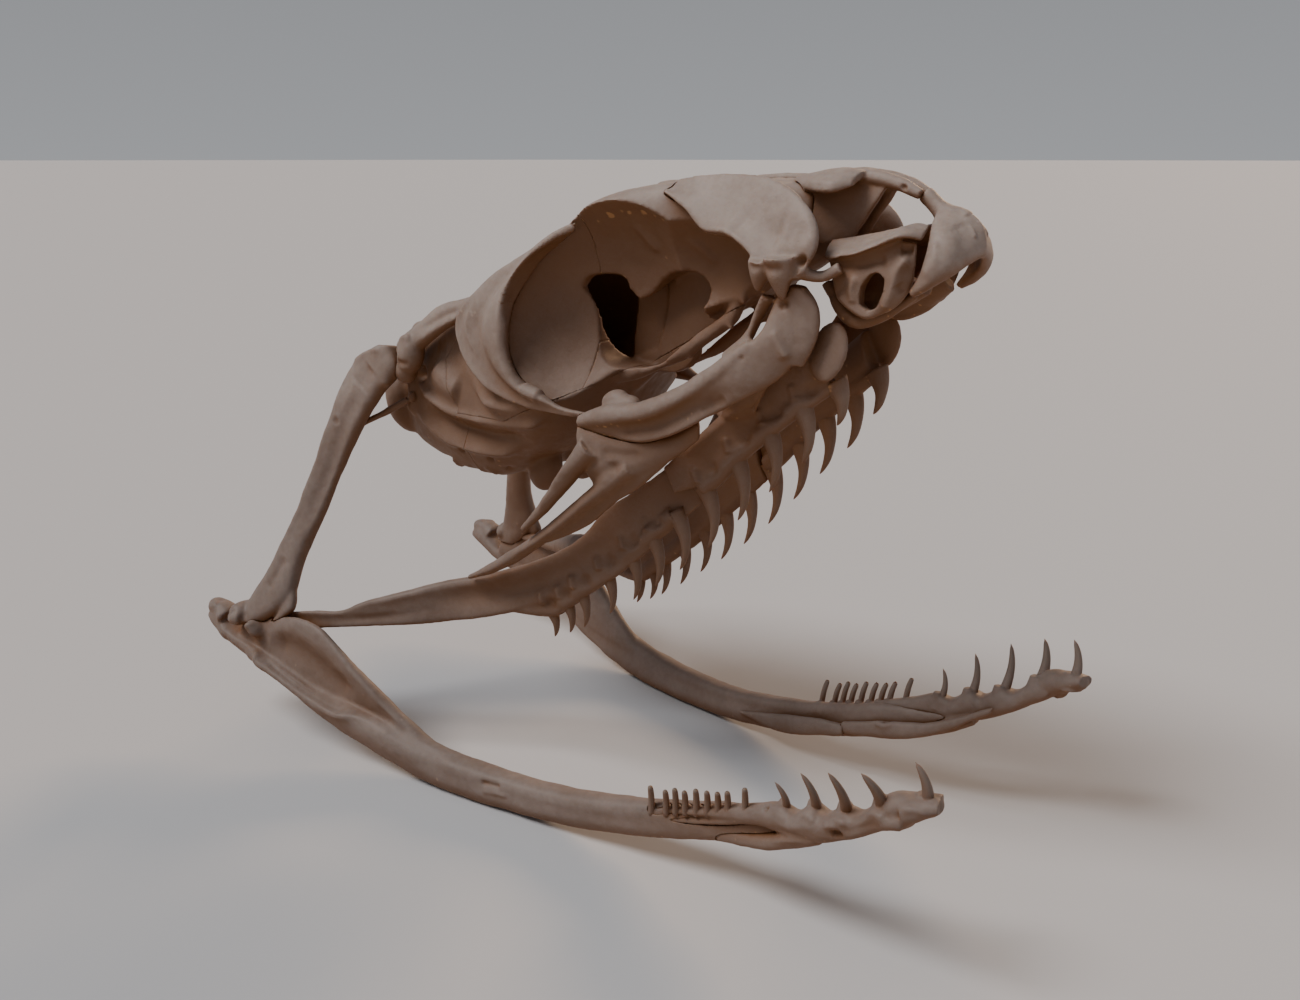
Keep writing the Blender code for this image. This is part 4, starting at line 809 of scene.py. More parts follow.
def braincase_marks():
    """Crests, furrows and pits of the braincase, given on the left."""
    return marks("""
    # crescent ridges behind the eye socket
    -3 9.4 62.2, -8 10.6 59.4, -11.4 11.2 56.2, -12.6 11.3 53.2, -12 11.2 50.1, -9.4 11.4 47.6,
    -5.8 11.7 46.2, -1.6 12.2 45.9 | 0.75 | 1.3 | 1.7
    -14.2 10.6 55.2, -14 10.8 52, -13.4 10.8 49.4 | 0.5 | -0.5
    # dark pocket between the crescent and the ear region
    -17.4 10.8 51.6, -15.6 10.8 51.8 | 1.1 1 | -1.5 | 2.6
    -14 10.8 48.4, -11.4 11.2 46.4 | 0.5 | -0.7
    # swelling of the ear region and the ledges below it
    -17.6 10.4 48.8, -15.1 10.6 47.2, -12.6 10.6 46.4 | 1.6 | 1
    -20.6 9.8 46.4, -17.6 10.2 44.8, -14 10.4 43.7, -9 10.4 43.6, -2 10.8 44.2, 2.6 11 45 | 0.55 | 0.9 | 1.5
    -19.6 9.6 43.4, -14 9.8 41.9, -8 9.8 41.6, -2 9.8 42.4 | 1 | -1.1
    -22.8 9 43.6, -17 9.4 40.2, -10 9.2 39.4, -4 8.8 40.2 | 0.6 | 0.6 | 1.6
    -23.6 9.4 48.6, -22.4 9.6 45.4, -22.8 9.2 42 | 0.7 | 0.7
    -20.4 9.8 47.6 | 0.9 | -1.1 | 3
    -25.4 8.4 46.8, -24.6 8.8 43.4 | 0.8 | -0.6
    -14.2 9 39 | 0.45 | -0.7 | 3
    -9.6 8.6 38.4 | 0.4 | -0.6 | 3
    -18 7 37.2, -12 6.6 36.4 | 0.8 | 0.4
    -24 4 37.4, -14 3.2 35.6, -8 2.6 35.4 | 1 | -0.6
    # back of the head: rim of the great hole, nerve holes and the crest toward the ear
    -30.4 2.4 46.6, -30 2.9 48.4, -29.2 1.8 50.2, -29 0.2 50.8 | 0.55 | 0.45
    -29.6 3.7 44.6 | 0.45 | -0.8 | 3
    -29.2 4.6 46.2 | 0.35 | -0.6 | 3
    -30.4 2.4 42.4, -29.4 3.4 41.2 | 0.7 | -0.5
    -28.4 1.6 52.2, -26.6 4.6 52.4, -24.6 7.4 51.6 | 0.5 | 0.5 | 1.6
    -28.2 5.4 49.4, -27.4 7.6 47.4 | 0.9 | -0.5
    -31 0 44.8, -31.6 0 42.8 | 0.35 | -0.3
    # roof: a low crest on the middle line and ripples toward the crescent
    -27 0 53.6, -16 0 58.6, -8 0 61.6, -2 0 65 | 0.9 | 0.5
    4.8 9.6 67.2 | 0.8 | -0.9
    -1 9.4 64.4, 1.6 9.6 65.8 | 1 | -0.5
    -22 4.5 55.2, -14 4.6 58.4, -6 4.8 62 | 1.6 | -0.5
    -10.4 9 58.6, -5 8.4 61.8, 0.4 7.8 64.8 | 0.35 | 0.3 | 1.5
    -9.6 7.6 59.8, -4 7.2 63, 1.4 6.8 66 | 0.35 | 0.25 | 1.5
    # seams and rough lumps over the eyes
    12 0 70.6, 20 0 71.3, 28 0 71.2, 31 0 70.6 | 0.4 | -0.3 | 1.5
    15.4 6.4 70.8, 18 5.2 71.2, 21 4.4 71.2, 23.6 3 71.2 | 0.45 | 0.45 | 1.5
    17 2.8 71, 19.4 2 71.3, 21.6 2.6 71.2 | 0.5 | 0.4
    12 3.6 70.4, 14.6 4.6 70.8, 16 3.4 71 | 0.45 | 0.35
    24 1.6 71.2, 26.4 2.6 71.2, 28.6 1.8 71 | 0.4 | 0.35
    11.4 6.4 70 | 0.35 | -0.5 | 3
    22.6 1.2 71 | 0.4 | -0.4 | 3
    # thin rim of the eye socket and veins on its inner wall
    6.6 9.6 66.4, 6.4 7.4 63.4, 6 6.2 61.4 | 0.35 | 0.3 | 1.5
    11 5.6 66.6, 13 4.2 63.6 | 0.6 | 0.3
    17 4.4 65.6, 19.6 3.4 62.4 | 0.6 | 0.3
    """) + [
        # fine ripples along the crescent
        stroke([(-4.0 + 0.5 * k, 9.4 - 0.7 * k, 61.6 + 0.4 * k), (-8.6, 10.2 - 0.5 * k, 58.8 + 0.35 * k),
                (-11.6, 10.8 - 0.5 * k, 55.8 + 0.4 * k)], 0.28, 0.16, edge=1.6) for k in range(4)
    ] + [
        # rough edges below
        stroke([(-21.0 + 3.1 * k, 7.6 - 0.3 * (k % 3), 37.0 + 0.25 * (k % 2)), (-19.8 + 3.1 * k, 6.4, 36.2)],
               0.5, (-0.5, 0.4)[k % 2]) for k in range(5)]


def cavity():
    """The hollow for the brain, as far as the optic windows show it."""
    stations = ("-11 2.6 56 52.5 49 1 1 1, -8 5.2 59 53.5 47.6 1 1 1, -2 6 62 55.5 49.2 1 1 1, "
                "4 4.3 64.4 57.5 50.4 1 1 1, 8 3 65 58.6 51.6 1 1 1, 10.4 2.4 63.8 58.2 52.6 1 1 1, "
                "12.2 1.4 62.4 58 54 1 1 1")
    return skin(oval_rings(stations, 30, sides=36))


def sockets():
    """The two eye sockets: the round of the eye, with room before and below it."""
    return [ball((x, side * y, z), radii, detail=5) for side in (1, -1)
            for (x, y, z), radii in ((ORBIT_CENTRE, ORBIT_RADII), ORBIT_FRONT, ORBIT_FLOOR)]


def septum():
    """The thin partition between the two optic windows, thicker in front."""
    thin = "5.5 49.6, 6.2 55, 6.8 60, 7.6 66, 14 66, 14 51.6"
    thick = "11.4 66, 11.3 61.2, 11.5 59.1, 10.7 55.5, 9.4 50.2, 15 52.4, 15 66"
    return [prism(thin, -0.35, 0.35), prism(thick, -0.72, 0.72)]


def optic_windows():
    """The notched openings in the inner walls of the eye sockets."""
    outline = ("2.7 59.3, 3.6 60.5, 6 60.8, 7.6 60.5, 8.2 59.2, 9.4 58.3, 11 59, 12.7 60.6, 14.7 61.5, "
               "17 61.6, 18.5 60.5, 18.8 58.8, 17.6 55.7, 15.6 53.8, 13 51.8, 9.8 50.9, 7.2 50.9, 5.6 51.9, "
               "4.7 53.9, 4.3 56.2, 3.8 57.7")
    return [prism(outline, side * 0.7, side * 9.0) for side in (1, -1)]


def part_braincase(whole):
    """Part the braincase along its main sutures into named bones."""
    far = 60.0
    floor = points("-14 20, -12.8 43.8, -4 44.2, 3.4 47.6, 10 51.6, 19 56.6, 40 67.4, 60 20")
    rear = points("-12.8 43.8, -15.4 50, -11.7 56, -12.4 90")
    brow = points("5 48.5, 4.7 58, 5.3 66, 4.7 90")
    behind = moved_line([(-far, 20), floor[0], *rear, (-far, 90)], (-SUTURE, 0))
    under = moved_line(floor, (SUTURE, -SUTURE))
    back = (-SUTURE, 0)
    middle = moved_line([*rear, *brow[::-1], floor[3], floor[2]], (0, SUTURE),
                        {4: back, 5: back, 6: back, 7: (-SUTURE, SUTURE)})
    ahead = moved_line([*brow[::-1], *floor[4:7], (60, 90)], (SUTURE, SUTURE))
    regions = {"occipital": wedge(behind, -far, far), "basisphenoid": wedge(under, -far, far),
               "parietal": wedge(middle, -far, far), "frontal": wedge(ahead, SUTURE, far)}
    bones = {}
    for name, region in regions.items():
        bone = bpy.data.objects.new(name, whole.data.copy())
        bpy.context.scene.collection.objects.link(bone)
        bones[name] = cut_with(bone, [region], "INTERSECT")
    return bones


def moved_line(line, shift, others=None):
    """The line's points, each moved by the shift or by its own."""
    moves = [(others or {}).get(k, shift) for k in range(len(line))]
    return [(x + dx, z + dz) for (x, z), (dx, dz) in zip(line, moves)]


def postorbital():
    """The crescent behind the eye, with a spike forward under it."""
    front = ("6 9.4 66.8, 3.2 10.2 65, 0.2 11.2 62, -1.7 12.3 58.4, -2.2 13 54.4, -1.4 13.3 51.2, "
             "0.6 13.2 49, 3.4 12.9 48.2, 6.2 12.6 47.2, 10 12.3 46.9")
    rear = ("1.2 8.8 64.2, -2.2 9.4 61.8, -6.6 10.2 59.6, -10 10.9 56.4, -11 11.3 54.2, -9 11.7 51, "
            "-5.6 12.1 48.4, -1 12.5 46.9, 4.6 12.5 46.3, 9.8 12.1 46.3")
    strap = blade(front, rear, [1.2, 2.0, 2.8, 3.2, 3.2, 2.9, 2.5, 1.9, 1.0, 0.7], rows=90, camber=-0.5)
    hollow = ball((11.8, 13.0, 57.0), (14.2, 12.8, 10.2), detail=5)
    bone = cut_with(fuse("postorbital", [strap]), [hollow])
    grain(bone, MEDIUM, 2)
    return sculpt(bone, marks("""
    1 11.6 65, -3.6 12.6 60.4, -6.2 13.4 56.8, -6.4 13.6 53.4, -4.6 13.8 50.4, -1.4 13.6 48.2,
    3 13.4 47.2 | 0.9 1.3 1.4 1.4 1.2 0.8 0.4 | -0.65 | 2 | out
    -1.4 11 63.2, -6.4 12 60.2, -9.6 12.2 56.6, -10.4 12.6 54.2, -8.4 12.8 51.2, -5 13 48.6,
    -1 13 47 | 0.4 | 0.5 | 1.5
    0.4 11.6 63.4, -2 13 58.6, -2.2 13.8 54.6, -1.2 14 51.2, 1 13.8 48.8 | 0.4 | 0.35 | 1.6
    -7.8 12.6 57.8, -8.4 13 54.6, -6.8 13.2 51.6 | 0.25 | 0.16
    -4.6 12.6 60, -6.6 13.4 57, -6.9 13.6 53.6, -5.2 13.8 50.6 | 0.25 | 0.14
    # rounded rim of the eye socket, and the cushion at the foot of the crescent
    4.6 10.2 66.2, 1.2 11.2 62.9, -1.5 12.4 58.6, -2.2 13 54.4, -1.4 13.2 51.2, 0.6 13 49.2 | 0.6 | 0.35 | 1.7
    0.4 12.8 48.8, 3.2 12.6 48.4 | 0.9 | 0.5
    5.4 9.8 67 | 0.7 | -0.6
    """))


def prefrontal():
    rear = "15.9 7.5 69.8, 18.9 8 68.2, 21.6 8.4 66.2, 25.1 9 65.8, 28.4 9.4 63.8, 28.9 9.4 61.9"
    front = "16.6 5.6 71, 22 5.2 71.5, 28 5.8 71.1, 32.6 7 69, 34.7 8 65.8, 33.4 8.8 62.2"
    plate = blade(rear, front, [0.9, 1.5, 1.7, 1.9, 1.9, 1.5], rows=70, camber=0.6)
    feet = [rod("29.3 9.3 63.8, 29.1 9.2 62.3, 28.9 9.1 60.9", [1.3, 0.95, 0.3], rows=18),
            rod("31.3 9.2 64.2, 31.4 9.1 62.2, 31.6 9 60.3", [1.7, 1.15, 0.25], rows=18)]
    bar = rod("33 8.6 63.2, 33.6 7.8 62.6, 34.8 7 62.5, 36.3 6.6 63.3", [0.9, 0.65, 0.55, 0.6], rows=24)
    bone = fuse("prefrontal", [plate, *feet, bar], polish=5)
    return sculpt(bone, marks("""
    25.4 9.2 68.4, 28.8 9.8 67.2, 31.4 9.6 66.4 | 1.6 2.1 1.6 | -0.8 | 2 | out
    33 8.4 68.4, 34.2 8.8 66.6, 33.6 9.2 64.6 | 0.5 | 0.35 | 1.6
    17 8 70.4, 21 8.2 69.8, 25 8 70.2, 29 7.6 70.2 | 0.5 | 0.4 | 1.5
    20.6 8.8 67.8, 24 9.4 66.8, 27.6 10 65.2 | 0.45 | 0.3
    27.2 9.4 69.4 | 0.25 | -0.45 | 4
    28.8 9.8 68.2 | 0.22 | -0.4 | 4
    28 10 66.9 | 0.22 | -0.4 | 4
    28.6 10.6 63.3, 30.4 10.6 63.1, 32.4 10.2 63.3 | 0.4 | -0.3 | 2 | out
    34.6 8.6 68 | 0.3 | -0.5 | 3
    33.6 8.9 63.9 | 0.45 | -0.6 | 3
    """))


def nasal():
    ridge = "28 1 70.8, 31 0.9 71.6, 34 0.9 71.8, 35.6 0.9 71.6"
    eaves = "28.4 2.6 70.6, 31 4.2 70.1, 33.6 4.9 70, 35.2 3.6 70.5"
    wing = blade(ridge, eaves, [0.8, 1.1, 1.2, 0.8], rows=40, camber=0.3)
    keel = rod("30.5 0.95 71, 35.2 0.95 71.3, 38.8 0.95 70.7, 41 0.9 69.8", [0.6, 0.75, 0.7, 0.5], rows=40)
    wall = blade("29.6 3.7 70, 32 2.2 70.8, 35 1.2 71, 37.8 1 70.8",
                 "30.4 3.5 65.3, 32.4 2.3 65.1, 34.2 1.3 65.5, 36.2 1 68.4", 1.0, rows=50)
    bone = fuse("nasal", [wing, keel, wall], voxel=FINE, polish=5)
    return sculpt(bone, marks("""
    30.4 4 71, 33.4 4.8 71, 35.6 4.8 70.9 | 0.4 | 0.2
    39.6 1.6 70.4 | 0.3 | -0.25 | 3
    """))


def premaxilla():
    """A hooked shield over the snout with a strut up to the nasals."""
    half_upper = points("42.5 4.9 61.3, 43.5 5.1 62.9, 43.9 4.8 64.8, 43.6 3.8 66.4, 43 2 67.7, 42.5 0 68.4")
    half_lower = points("42.8 4.5 61, 44.2 4 61.9, 45.5 3 62.8, 46.4 1.7 63.7, 46.9 0.8 64.2, 47.1 0 64.4")
    upper = [(x, -y, z) for x, y, z in half_upper] + half_upper[-2::-1]
    lower = [(x, -y, z) for x, y, z in half_lower] + half_lower[-2::-1]
    shield = blade(upper, lower, [0.8, 1.3, 1.5, 1.5, 1.6, 1.8, 1.6, 1.5, 1.5, 1.3, 0.8], rows=110,
                   camber=[0, -0.3, -0.6, -0.8, -0.8, -0.8, -0.8, -0.8, -0.6, -0.3, 0])
    strut = rod("41 0 69.8, 42.2 0 68.8, 43.2 0 68, 44.8 0 67", [0.75, 0.8, 1.1, 1.5])
    spine = rod("45 0 64.4, 42 0 63.4, 38.5 0 62.6", [1.3, 0.9, 0.7])
    bone = fuse("premaxilla", [shield, strut, spine], voxel=FINE, polish=5)
    return sculpt(bone, marks("""
    43.6 0 68.6, 45.6 0 67.8, 47.2 0 66.4, 48 0 65 | 0.4 | 0.35 | 1.5
    45 2.2 67.2, 46 2.4 65.8, 45.4 3.4 64.2 | 0.9 | -0.35
    44.4 4.6 66, 44.8 5 64.4, 44 5.2 62.8 | 0.45 | 0.2
    46 1.2 67.2, 46.9 1.3 66.2 | 0.22 | 0.18
    """), both_sides=True)


def septomaxilla():
    flange = blade("32.8 2.4 65.4, 36.2 2 66, 39.4 2 66.6, 41.6 2.2 67.2, 43 2.6 67.1",
                   "34.2 6.2 64, 37.2 6.9 64.4, 39.6 6.8 65.3, 41.9 6.2 66.3, 43.3 4.7 66",
                   [0.9, 0.8, 0.75, 0.8, 0.8], rows=50)
    wall = blade("34.4 5.6 64.2, 37.6 5.5 64.6, 40.6 5.2 65.8, 42.8 4.4 65.8",
                 "35.4 5.1 60.2, 38.2 5.1 58.7, 41 4.8 59.8, 42.4 4.1 61.6", [1.0, 1.2, 1.2, 1.0], rows=50)
    bone = fuse("septomaxilla", [flange, wall], voxel=FINE, polish=5)
    outline = "38 61.6, 38.8 62.7, 39.8 62.9, 40.4 62.2, 40.2 60.9, 39.6 59.9, 38.7 59.5, 37.9 60.1"
    cut_with(bone, [prism(outline, 0.0, 12.0)])
    grain(bone, FINE, 2)
    return sculpt(bone, marks("""
    37.5 6.2 62.6, 37.1 6 61.2, 37.2 6 60 | 0.4 | 0.35 | 1.7
    40.2 5.6 59.2, 41 5.7 61.2, 41.5 5.6 63.2, 42.4 5 64.8 | 0.55 | 0.6 | 1.7
    35.6 5.5 61, 36.6 5.7 59.8, 38.2 5.7 58.9, 39.6 5.6 59 | 0.5 | 0.3 | 1.8
    34.6 6.8 64, 35.8 7 63.6 | 0.45 | 0.5
    37 7.4 64.6, 37.8 7.5 64.9 | 0.35 | 0.5
    35 7 64.2, 37.6 7.4 64.4, 39.4 7.3 64.9, 40.4 7.1 65.8, 42.2 6.6 66.2 | 0.35 | 0.35 | 1.6
    35.6 6.6 63, 38.6 6.4 63.8, 40.6 6.2 64.2 | 0.7 | -0.6
    41.8 5.6 65.2, 42.8 5 65.2 | 0.5 | -0.5
    41.8 5.8 62, 42.2 5.4 61.2 | 0.5 | -0.4
    36.2 5.4 66.8, 39 5 67 | 0.3 | -0.3
    36.3 7.2 64.2 | 0.55 | -0.7
    39 7.4 65 | 0.5 | -0.5
    37.4 6.2 66, 40 5.8 66.8, 42 4.8 67.4 | 0.5 | 0.35
    """))


def vomer():
    plate = blade("33 1.2 63.4, 36 1.2 62.8, 40.5 1.2 61.8, 42.8 1.2 62.2",
                  "33.4 3.8 60.6, 36.6 4.1 57.9, 40.2 3.8 59.2, 43 3.2 61.2", 1.4, rows=40)
    crest = rod("33.2 3.9 61.6, 35 4 59.2, 36.8 4 58.2, 39.4 3.8 59, 42.4 3.4 61", [0.5, 0.7, 0.7, 0.6, 0.4],
                rows=40)
    bone = fuse("vomer", [plate, crest], voxel=FINE, polish=5)
    return sculpt(bone, marks("""
    35.2 3.6 60.8, 38.4 3.6 60 | 0.6 | -0.4 | 2 | out
    34 4.2 60.4 | 0.4 | -0.4
    35.9 4.4 58.4 | 0.35 | -0.35
    """))


# Finish

def link(tree, source, target):
    tree.links.new(source, target)


def node(tree, kind, **values):
    made = tree.nodes.new(kind)
    for name, value in values.items():
        setattr(made, name, value)
    return made


def ramp(tree, source, stops):
    """A colour ramp over a 0 to 1 value; a plain number stands for a grey."""
    made = node(tree, "ShaderNodeValToRGB")
    bar = made.color_ramp.elements
    while len(bar) < len(stops):
        bar.new(0.5)
    for element, (at, colour) in zip(bar, stops):
        element.position = at
        element.color = (*(colour if isinstance(colour, tuple) else (colour,) * 3), 1.0)
    link(tree, source, made.inputs["Fac"])
    return made.outputs["Color"]


def noise(tree, where, scale, detail):
    made = node(tree, "ShaderNodeTexNoise")
    made.inputs["Scale"].default_value = scale
    made.inputs["Detail"].default_value = detail
    made.inputs["Roughness"].default_value = 0.55
    link(tree, where, made.inputs["Vector"])
    return made.outputs["Fac"]


def split(tree, vector):
    """The parts of a vector."""
    made = node(tree, "ShaderNodeSeparateXYZ")
    link(tree, vector, made.inputs["Vector"])
    return made.outputs


def shelter(tree, reach, samples):
    """A node that tells how open the surroundings of a point are."""
    made = node(tree, "ShaderNodeAmbientOcclusion", samples=samples)
    made.inputs["Distance"].default_value = reach
    return made


def blend_colours(tree, share, first, second, mode="MIX"):
    mix = node(tree, "ShaderNodeMix", data_type="RGBA", blend_type=mode)
    if isinstance(share, float):
        mix.inputs["Factor"].default_value = share
    else:
        link(tree, share, mix.inputs["Factor"])
    for value, socket in ((first, mix.inputs["A"]), (second, mix.inputs["B"])):
        if isinstance(value, tuple):
            socket.default_value = (*value, 1.0)
        else:
            link(tree, value, socket)
    return mix.outputs["Result"]


OPEN_BONE = (0.384, 0.305, 0.263)
PALE_BONE = (0.512, 0.421, 0.366)
STAINED_BONE = (0.299, 0.215, 0.166)
# colour of the painted shade in recesses and underneath
SHADE_BROWN = (0.170, 0.068, 0.021)
# colour of the painted glow on edges
PAINTED_GLOW = (0.520, 0.250, 0.090)
TOOTH_COLOUR = (0.360, 0.285, 0.235)
# Noise scales for each metre
BLOTCHES, SPECKLES, PORES = 190.0, 1400.0, 1500.0
# Reach of the painted shade in recesses and creases, and the height of the pores, in metres
SHADE_REACH, CREASE_SHADE_REACH, PORE_HEIGHT = 0.030, 0.0022, 0.00008


def bone_material(name, toothed):
    """Dry, matte bone: beige on open faces, with soft blotches, fine grain and tiny
    pores. Painted shade makes it darker toward the table and brown in recesses
    and underneath, and a painted orange glow lies on sharp edges within that shade."""
    mat = bpy.data.materials.new(name)
    mat.use_nodes = True
    tree = mat.node_tree
    shader = tree.nodes["Principled BSDF"]
    where = node(tree, "ShaderNodeTexCoord").outputs["Object"]

    blotches = noise(tree, where, BLOTCHES, 3.0)
    colour = ramp(tree, blotches, [(0.30, STAINED_BONE), (0.50, OPEN_BONE), (0.72, PALE_BONE)])
    colour = blend_colours(tree, 0.55, colour, OPEN_BONE)
    fine = noise(tree, where, SPECKLES, 5.0)
    speckle = ramp(tree, fine, [(0.30, (0.84, 0.80, 0.77)), (0.62, 1.0)])
    colour = blend_colours(tree, 0.75, colour, speckle, "MULTIPLY")

    geometry = node(tree, "ShaderNodeNewGeometry").outputs
    worn = ramp(tree, geometry["Pointiness"], [(0.55, 0.0), (0.68, 0.7)])
    colour = blend_colours(tree, worn, colour, PALE_BONE)
    if toothed:
        enamel = node(tree, "ShaderNodeAttribute", attribute_name="enamel").outputs["Fac"]
        colour = blend_colours(tree, enamel, colour, TOOTH_COLOUR)
    # painted shade: the colour darkens toward the table, as if less light reached the lower parts
    height_shade = ramp(tree, split(tree, where)["Z"], [(0.018, (0.60, 0.58, 0.57)), (0.042, (0.68, 0.66, 0.65)),
                                                (0.056, (0.88, 0.87, 0.86)), (0.068, 1.0)])
    colour = blend_colours(tree, 1.0, colour, height_shade, "MULTIPLY")

    # painted shade: brown where little sky lies above, in creases, and on faces that look down
    toward = node(tree, "ShaderNodeCombineXYZ")
    toward.inputs["Z"].default_value = 1.0
    hollow = shelter(tree, SHADE_REACH, 6)
    link(tree, toward.outputs["Vector"], hollow.inputs["Normal"])
    painted_shade = ramp(tree, hollow.outputs["AO"], [(0.12, 1.0), (0.27, 0.80), (0.38, 0.36), (0.52, 0.0)])
    crease_shade = ramp(tree, shelter(tree, CREASE_SHADE_REACH, 4).outputs["AO"], [(0.25, 1.0), (0.80, 0.0)])
    painted_shade = blend_colours(tree, 1.0, painted_shade, crease_shade, "SCREEN")
    under = node(tree, "ShaderNodeMath", operation="MULTIPLY")
    link(tree, split(tree, geometry["Normal"])["Z"], under.inputs[0])
    under.inputs[1].default_value = -1.0
    below = ramp(tree, under.outputs["Value"], [(0.05, 0.0), (0.80, 0.60)])
    painted_shade = blend_colours(tree, 1.0, painted_shade, below, "SCREEN")
    colour = blend_colours(tree, painted_shade, colour, SHADE_BROWN)
    # painted glow: warm orange on sharp edges within the painted shade, standing in for light shining through
    # thin bone
    edges = ramp(tree, geometry["Pointiness"], [(0.59, 0.0), (0.70, 0.6)])
    edges = blend_colours(tree, 1.0, edges, painted_shade, "MULTIPLY")
    colour = blend_colours(tree, edges, colour, PAINTED_GLOW)
    link(tree, colour, shader.inputs["Base Color"])

    link(tree, ramp(tree, fine, [(0.25, 0.50), (0.75, 0.68)]), shader.inputs["Roughness"])
    for socket, value in (("Subsurface Weight", 0.12), ("Subsurface Radius", (1.0, 0.36, 0.14)),
                          ("Subsurface Scale", 0.0012), ("Specular IOR Level", 0.38)):
        shader.inputs[socket].default_value = value

    pores = node(tree, "ShaderNodeTexVoronoi", feature="F1")
    pores.inputs["Scale"].default_value = PORES
    link(tree, where, pores.inputs["Vector"])
    pits = ramp(tree, pores.outputs["Distance"], [(0.05, 0.0), (0.26, 1.0)])
    bump = node(tree, "ShaderNodeBump")
    bump.inputs["Strength"].default_value = 0.35
    bump.inputs["Distance"].default_value = PORE_HEIGHT
    link(tree, blend_colours(tree, 0.5, fine, pits), bump.inputs["Height"])
    link(tree, bump.outputs["Normal"], shader.inputs["Normal"])
    return mat


def mark_teeth(item, lines):
    """Store how far each point belongs to a tooth's crown."""
    co = places(item)
    crown = np.zeros(len(co))
    for root, tip, width in lines:
        gap, at = nearest(co, np.array([root, tip], float))
        crown = np.maximum(crown, np.where(gap < width, np.clip((at - CROWN_START) * 6, 0, 1), 0))
    attribute = item.data.attributes.new("enamel", "FLOAT", "POINT")
    attribute.data.foreach_set("value", crown.astype(np.float32))


# Putting the skull together

# Each bone is cut back from the bones named after it. The word seam stands for a
# tight fit, and both adds the neighbour's partner on the right.
CLEARANCES = """
frontal: prefrontal postorbital
parietal: seam postorbital both
basisphenoid: seam postorbital both
nasal: frontal prefrontal
postorbital: maxilla
supratemporal: occipital parietal postorbital
quadrate: supratemporal occipital
stapes: occipital quadrate
premaxilla: nasal both
septomaxilla: premaxilla nasal frontal prefrontal
vomer: septomaxilla premaxilla basisphenoid frontal
maxilla: prefrontal basisphenoid parietal
palatine: maxilla vomer septomaxilla basisphenoid
pterygoid: seam palatine
ectopterygoid: maxilla pterygoid palatine
compound: seam seam dentary
compound: quadrate
splenial: seam dentary compound
angular: seam compound dentary splenial
"""


def build_bones():
    """The single bones and the left bones of each pair, by name."""
    whole = braincase_whole()
    single = part_braincase(whole)
    discard(whole)
    paired = {build.__name__: build() for build in (
        nasal, prefrontal, postorbital, supratemporal, quadrate, stapes, septomaxilla, vomer, maxilla,
        ectopterygoid, palatine, pterygoid, compound, dentary, splenial, angular)}
    single["premaxilla"] = premaxilla()
    bones = single | paired
    for row in CLEARANCES.strip().splitlines():
        name, *words = row.replace(":", "").split()
        neighbours = [bones[word] for word in words if word not in ("seam", "both")]
        stand_clear(bones[name], neighbours, sides=(1, -1) if "both" in words else (1,),
                    gap=words.count("seam") * SEAM or GAP)

    for item in bones.values():
        weathered(item)
    tips = palatal_tips()[0]
    rows = {"dentary": dentary_teeth(), "palatine": palatal_teeth(0, 5), "pterygoid": palatal_teeth(5, 12)}
    for name, teeth in rows.items():
        add_teeth(bones[name], teeth)
    hooks = [((bx, jaw_y(bx), bz - 1.4), (x, y, z), 1.2) for bx, bz, x, y, z, _ in HOOKS]
    pegs = [((x, jaw_y(x) + 0.8, peg_level(x) - 2.0), (x + 0.4, jaw_y(x) + 1.5, peg_level(x) + 2.6), 0.55)
            for x in PEGS]
    palate = [(palatal_root(k), tips[k], 1.5) for k in range(12)]
    for name, lines in (("dentary", hooks + pegs), ("palatine", palate), ("pterygoid", palate)):
        mark_teeth(bones[name], lines)
    paired["frontal"] = single.pop("frontal")
    return single, paired


def dress(item, node_name, mat, slot_name):
    """Bring a finished bone into the shared frame, name it after its node, attach it to the root and hide the
    node's plain solid.
    """
    item.name = node_name + "_bone"
    item.data.name = item.name
    spots = places(item)
    spots[:, 2] = np.maximum(spots[:, 2], 0.0)
    place(item, spots)
    item.data.transform(Matrix.Scale(MILLIMETRE, 4) @ Matrix.Translation((-HALFWAY, 0, 0)))
    item.data.materials.clear()
    item.data.materials.append(mat)
    item.data.polygons.foreach_set("use_smooth", [True] * len(item.data.polygons))
    item.data.update()
    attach(item, "root")
    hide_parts(node_name)


def build_skull():
    """Dress the single bones and both bones of each pair."""
    plain = bone_material("dry bone", False)
    toothed = bone_material("dry bone with teeth", True)
    single, paired = build_bones()
    for name, item in single.items():
        dress(item, name, plain, "bone")
    for name, item in paired.items():
        bears = name in ("dentary", "palatine", "pterygoid")
        finish = (toothed, "toothed_bone") if bears else (plain, "bone")
        right = bpy.data.objects.new(name + "_right", item.data.copy())
        bpy.context.scene.collection.objects.link(right)
        mirror(right)
        dress(item, name + "_L", *finish)
        dress(right, name + "_R", *finish)


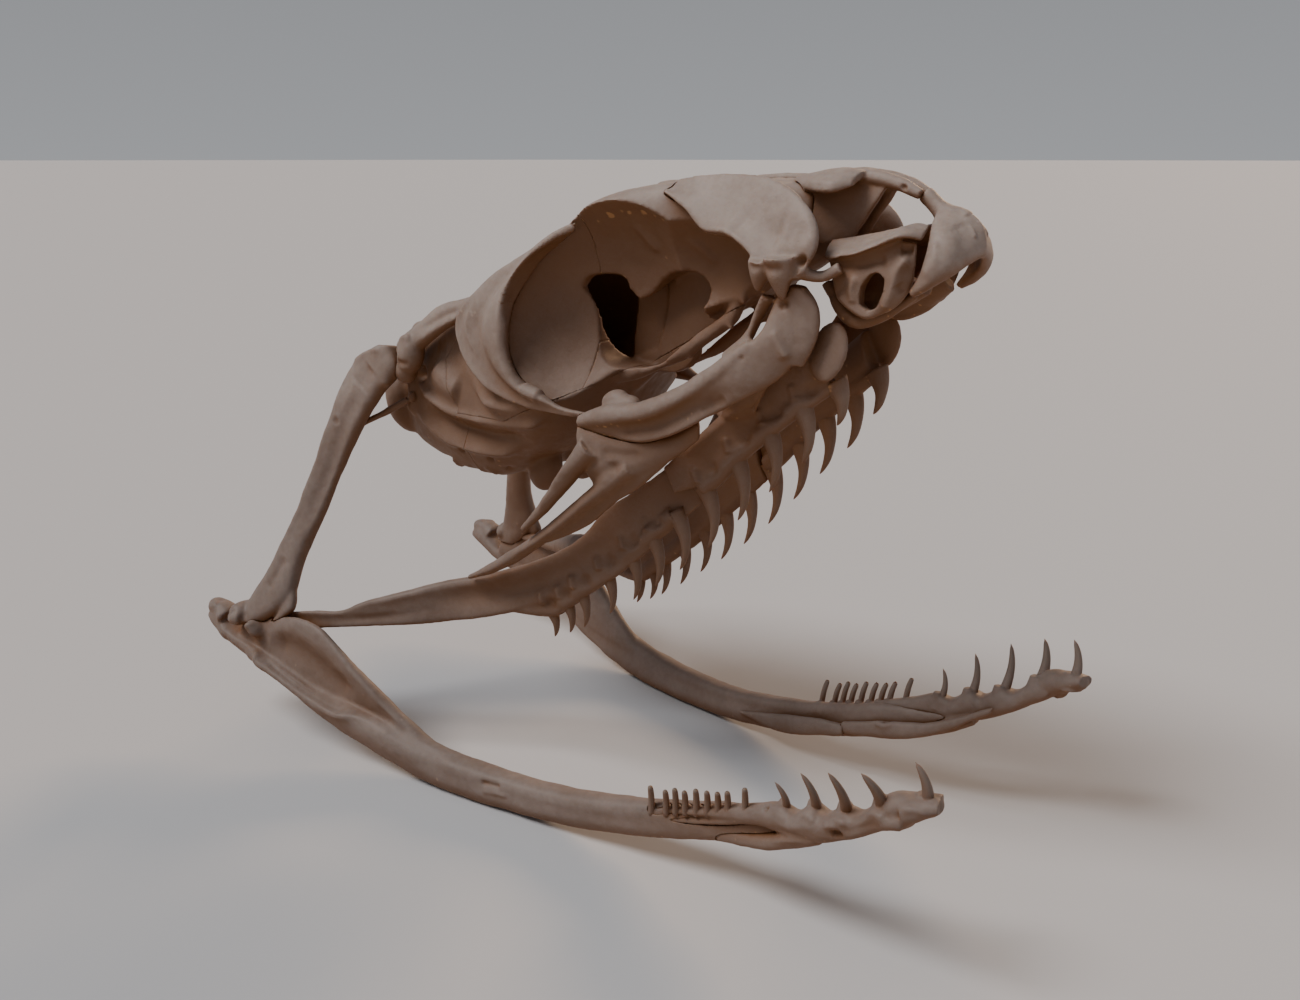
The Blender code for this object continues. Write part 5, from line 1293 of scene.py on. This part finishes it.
def stage():
    """A pale floor under a soft studio light."""
    bm = bmesh.new()
    bmesh.ops.create_grid(bm, x_segments=1, y_segments=1, size=FLOOR_HALF)
    floor = to_object(bm, "floor")
    paper = bpy.data.materials.new("pale paper")
    paper.use_nodes = True
    shader = paper.node_tree.nodes["Principled BSDF"]
    shader.inputs["Base Color"].default_value = (0.55, 0.56, 0.58, 1.0)
    shader.inputs["Roughness"].default_value = 0.9
    floor.data.materials.append(paper)

    world = bpy.data.worlds.new("studio")
    world.use_nodes = True
    tree = world.node_tree
    up = split(tree, node(tree, "ShaderNodeTexCoord").outputs["Generated"])["Z"]
    dome = ramp(tree, up, [(0.0, (0.42, 0.43, 0.45)), (0.25, (0.30, 0.31, 0.33)), (0.8, (0.16, 0.165, 0.18))])
    link(tree, dome, tree.nodes["Background"].inputs["Color"])
    tree.nodes["Background"].inputs["Strength"].default_value = 0.85
    bpy.context.scene.world = world
    sun("key", (-0.35, -0.55, 0.9), 2.3, 24.0, (1.0, 0.97, 0.95))
    sun("back", (-0.05, 0.90, 0.42), 2.0, 20.0, (1.0, 0.66, 0.40))


def sun(name, toward, strength, softness, colour):
    """A distant light that shines from the given direction."""
    light = bpy.data.lights.new(name, "SUN")
    light.energy = strength
    light.angle = radians(softness)
    light.color = colour
    item = bpy.data.objects.new(name, light)
    item.rotation_mode = "QUATERNION"
    item.rotation_quaternion = Vector(toward).to_track_quat("Z", "Y")
    bpy.context.scene.collection.objects.link(item)


def camera():
    """The photo's viewpoint, fitted to the skull's two matching sides."""
    data = bpy.data.cameras.new("camera")
    data.sensor_width = SENSOR
    data.sensor_fit = "HORIZONTAL"
    data.lens = FOCAL_PIXELS * SENSOR / PHOTO_WIDTH
    data.clip_start = 0.001
    item = bpy.data.objects.new("camera", data)
    turn = Matrix((CAMERA_RIGHT, CAMERA_UP, CAMERA_BACK)).transposed().to_4x4()
    x, y, z = CAMERA_PLACE
    turn.translation = Vector((x - HALFWAY, y, z)) * MILLIMETRE
    item.matrix_world = turn
    bpy.context.scene.collection.objects.link(item)
    bpy.context.scene.camera = item


camera()
stage()
build_skull()
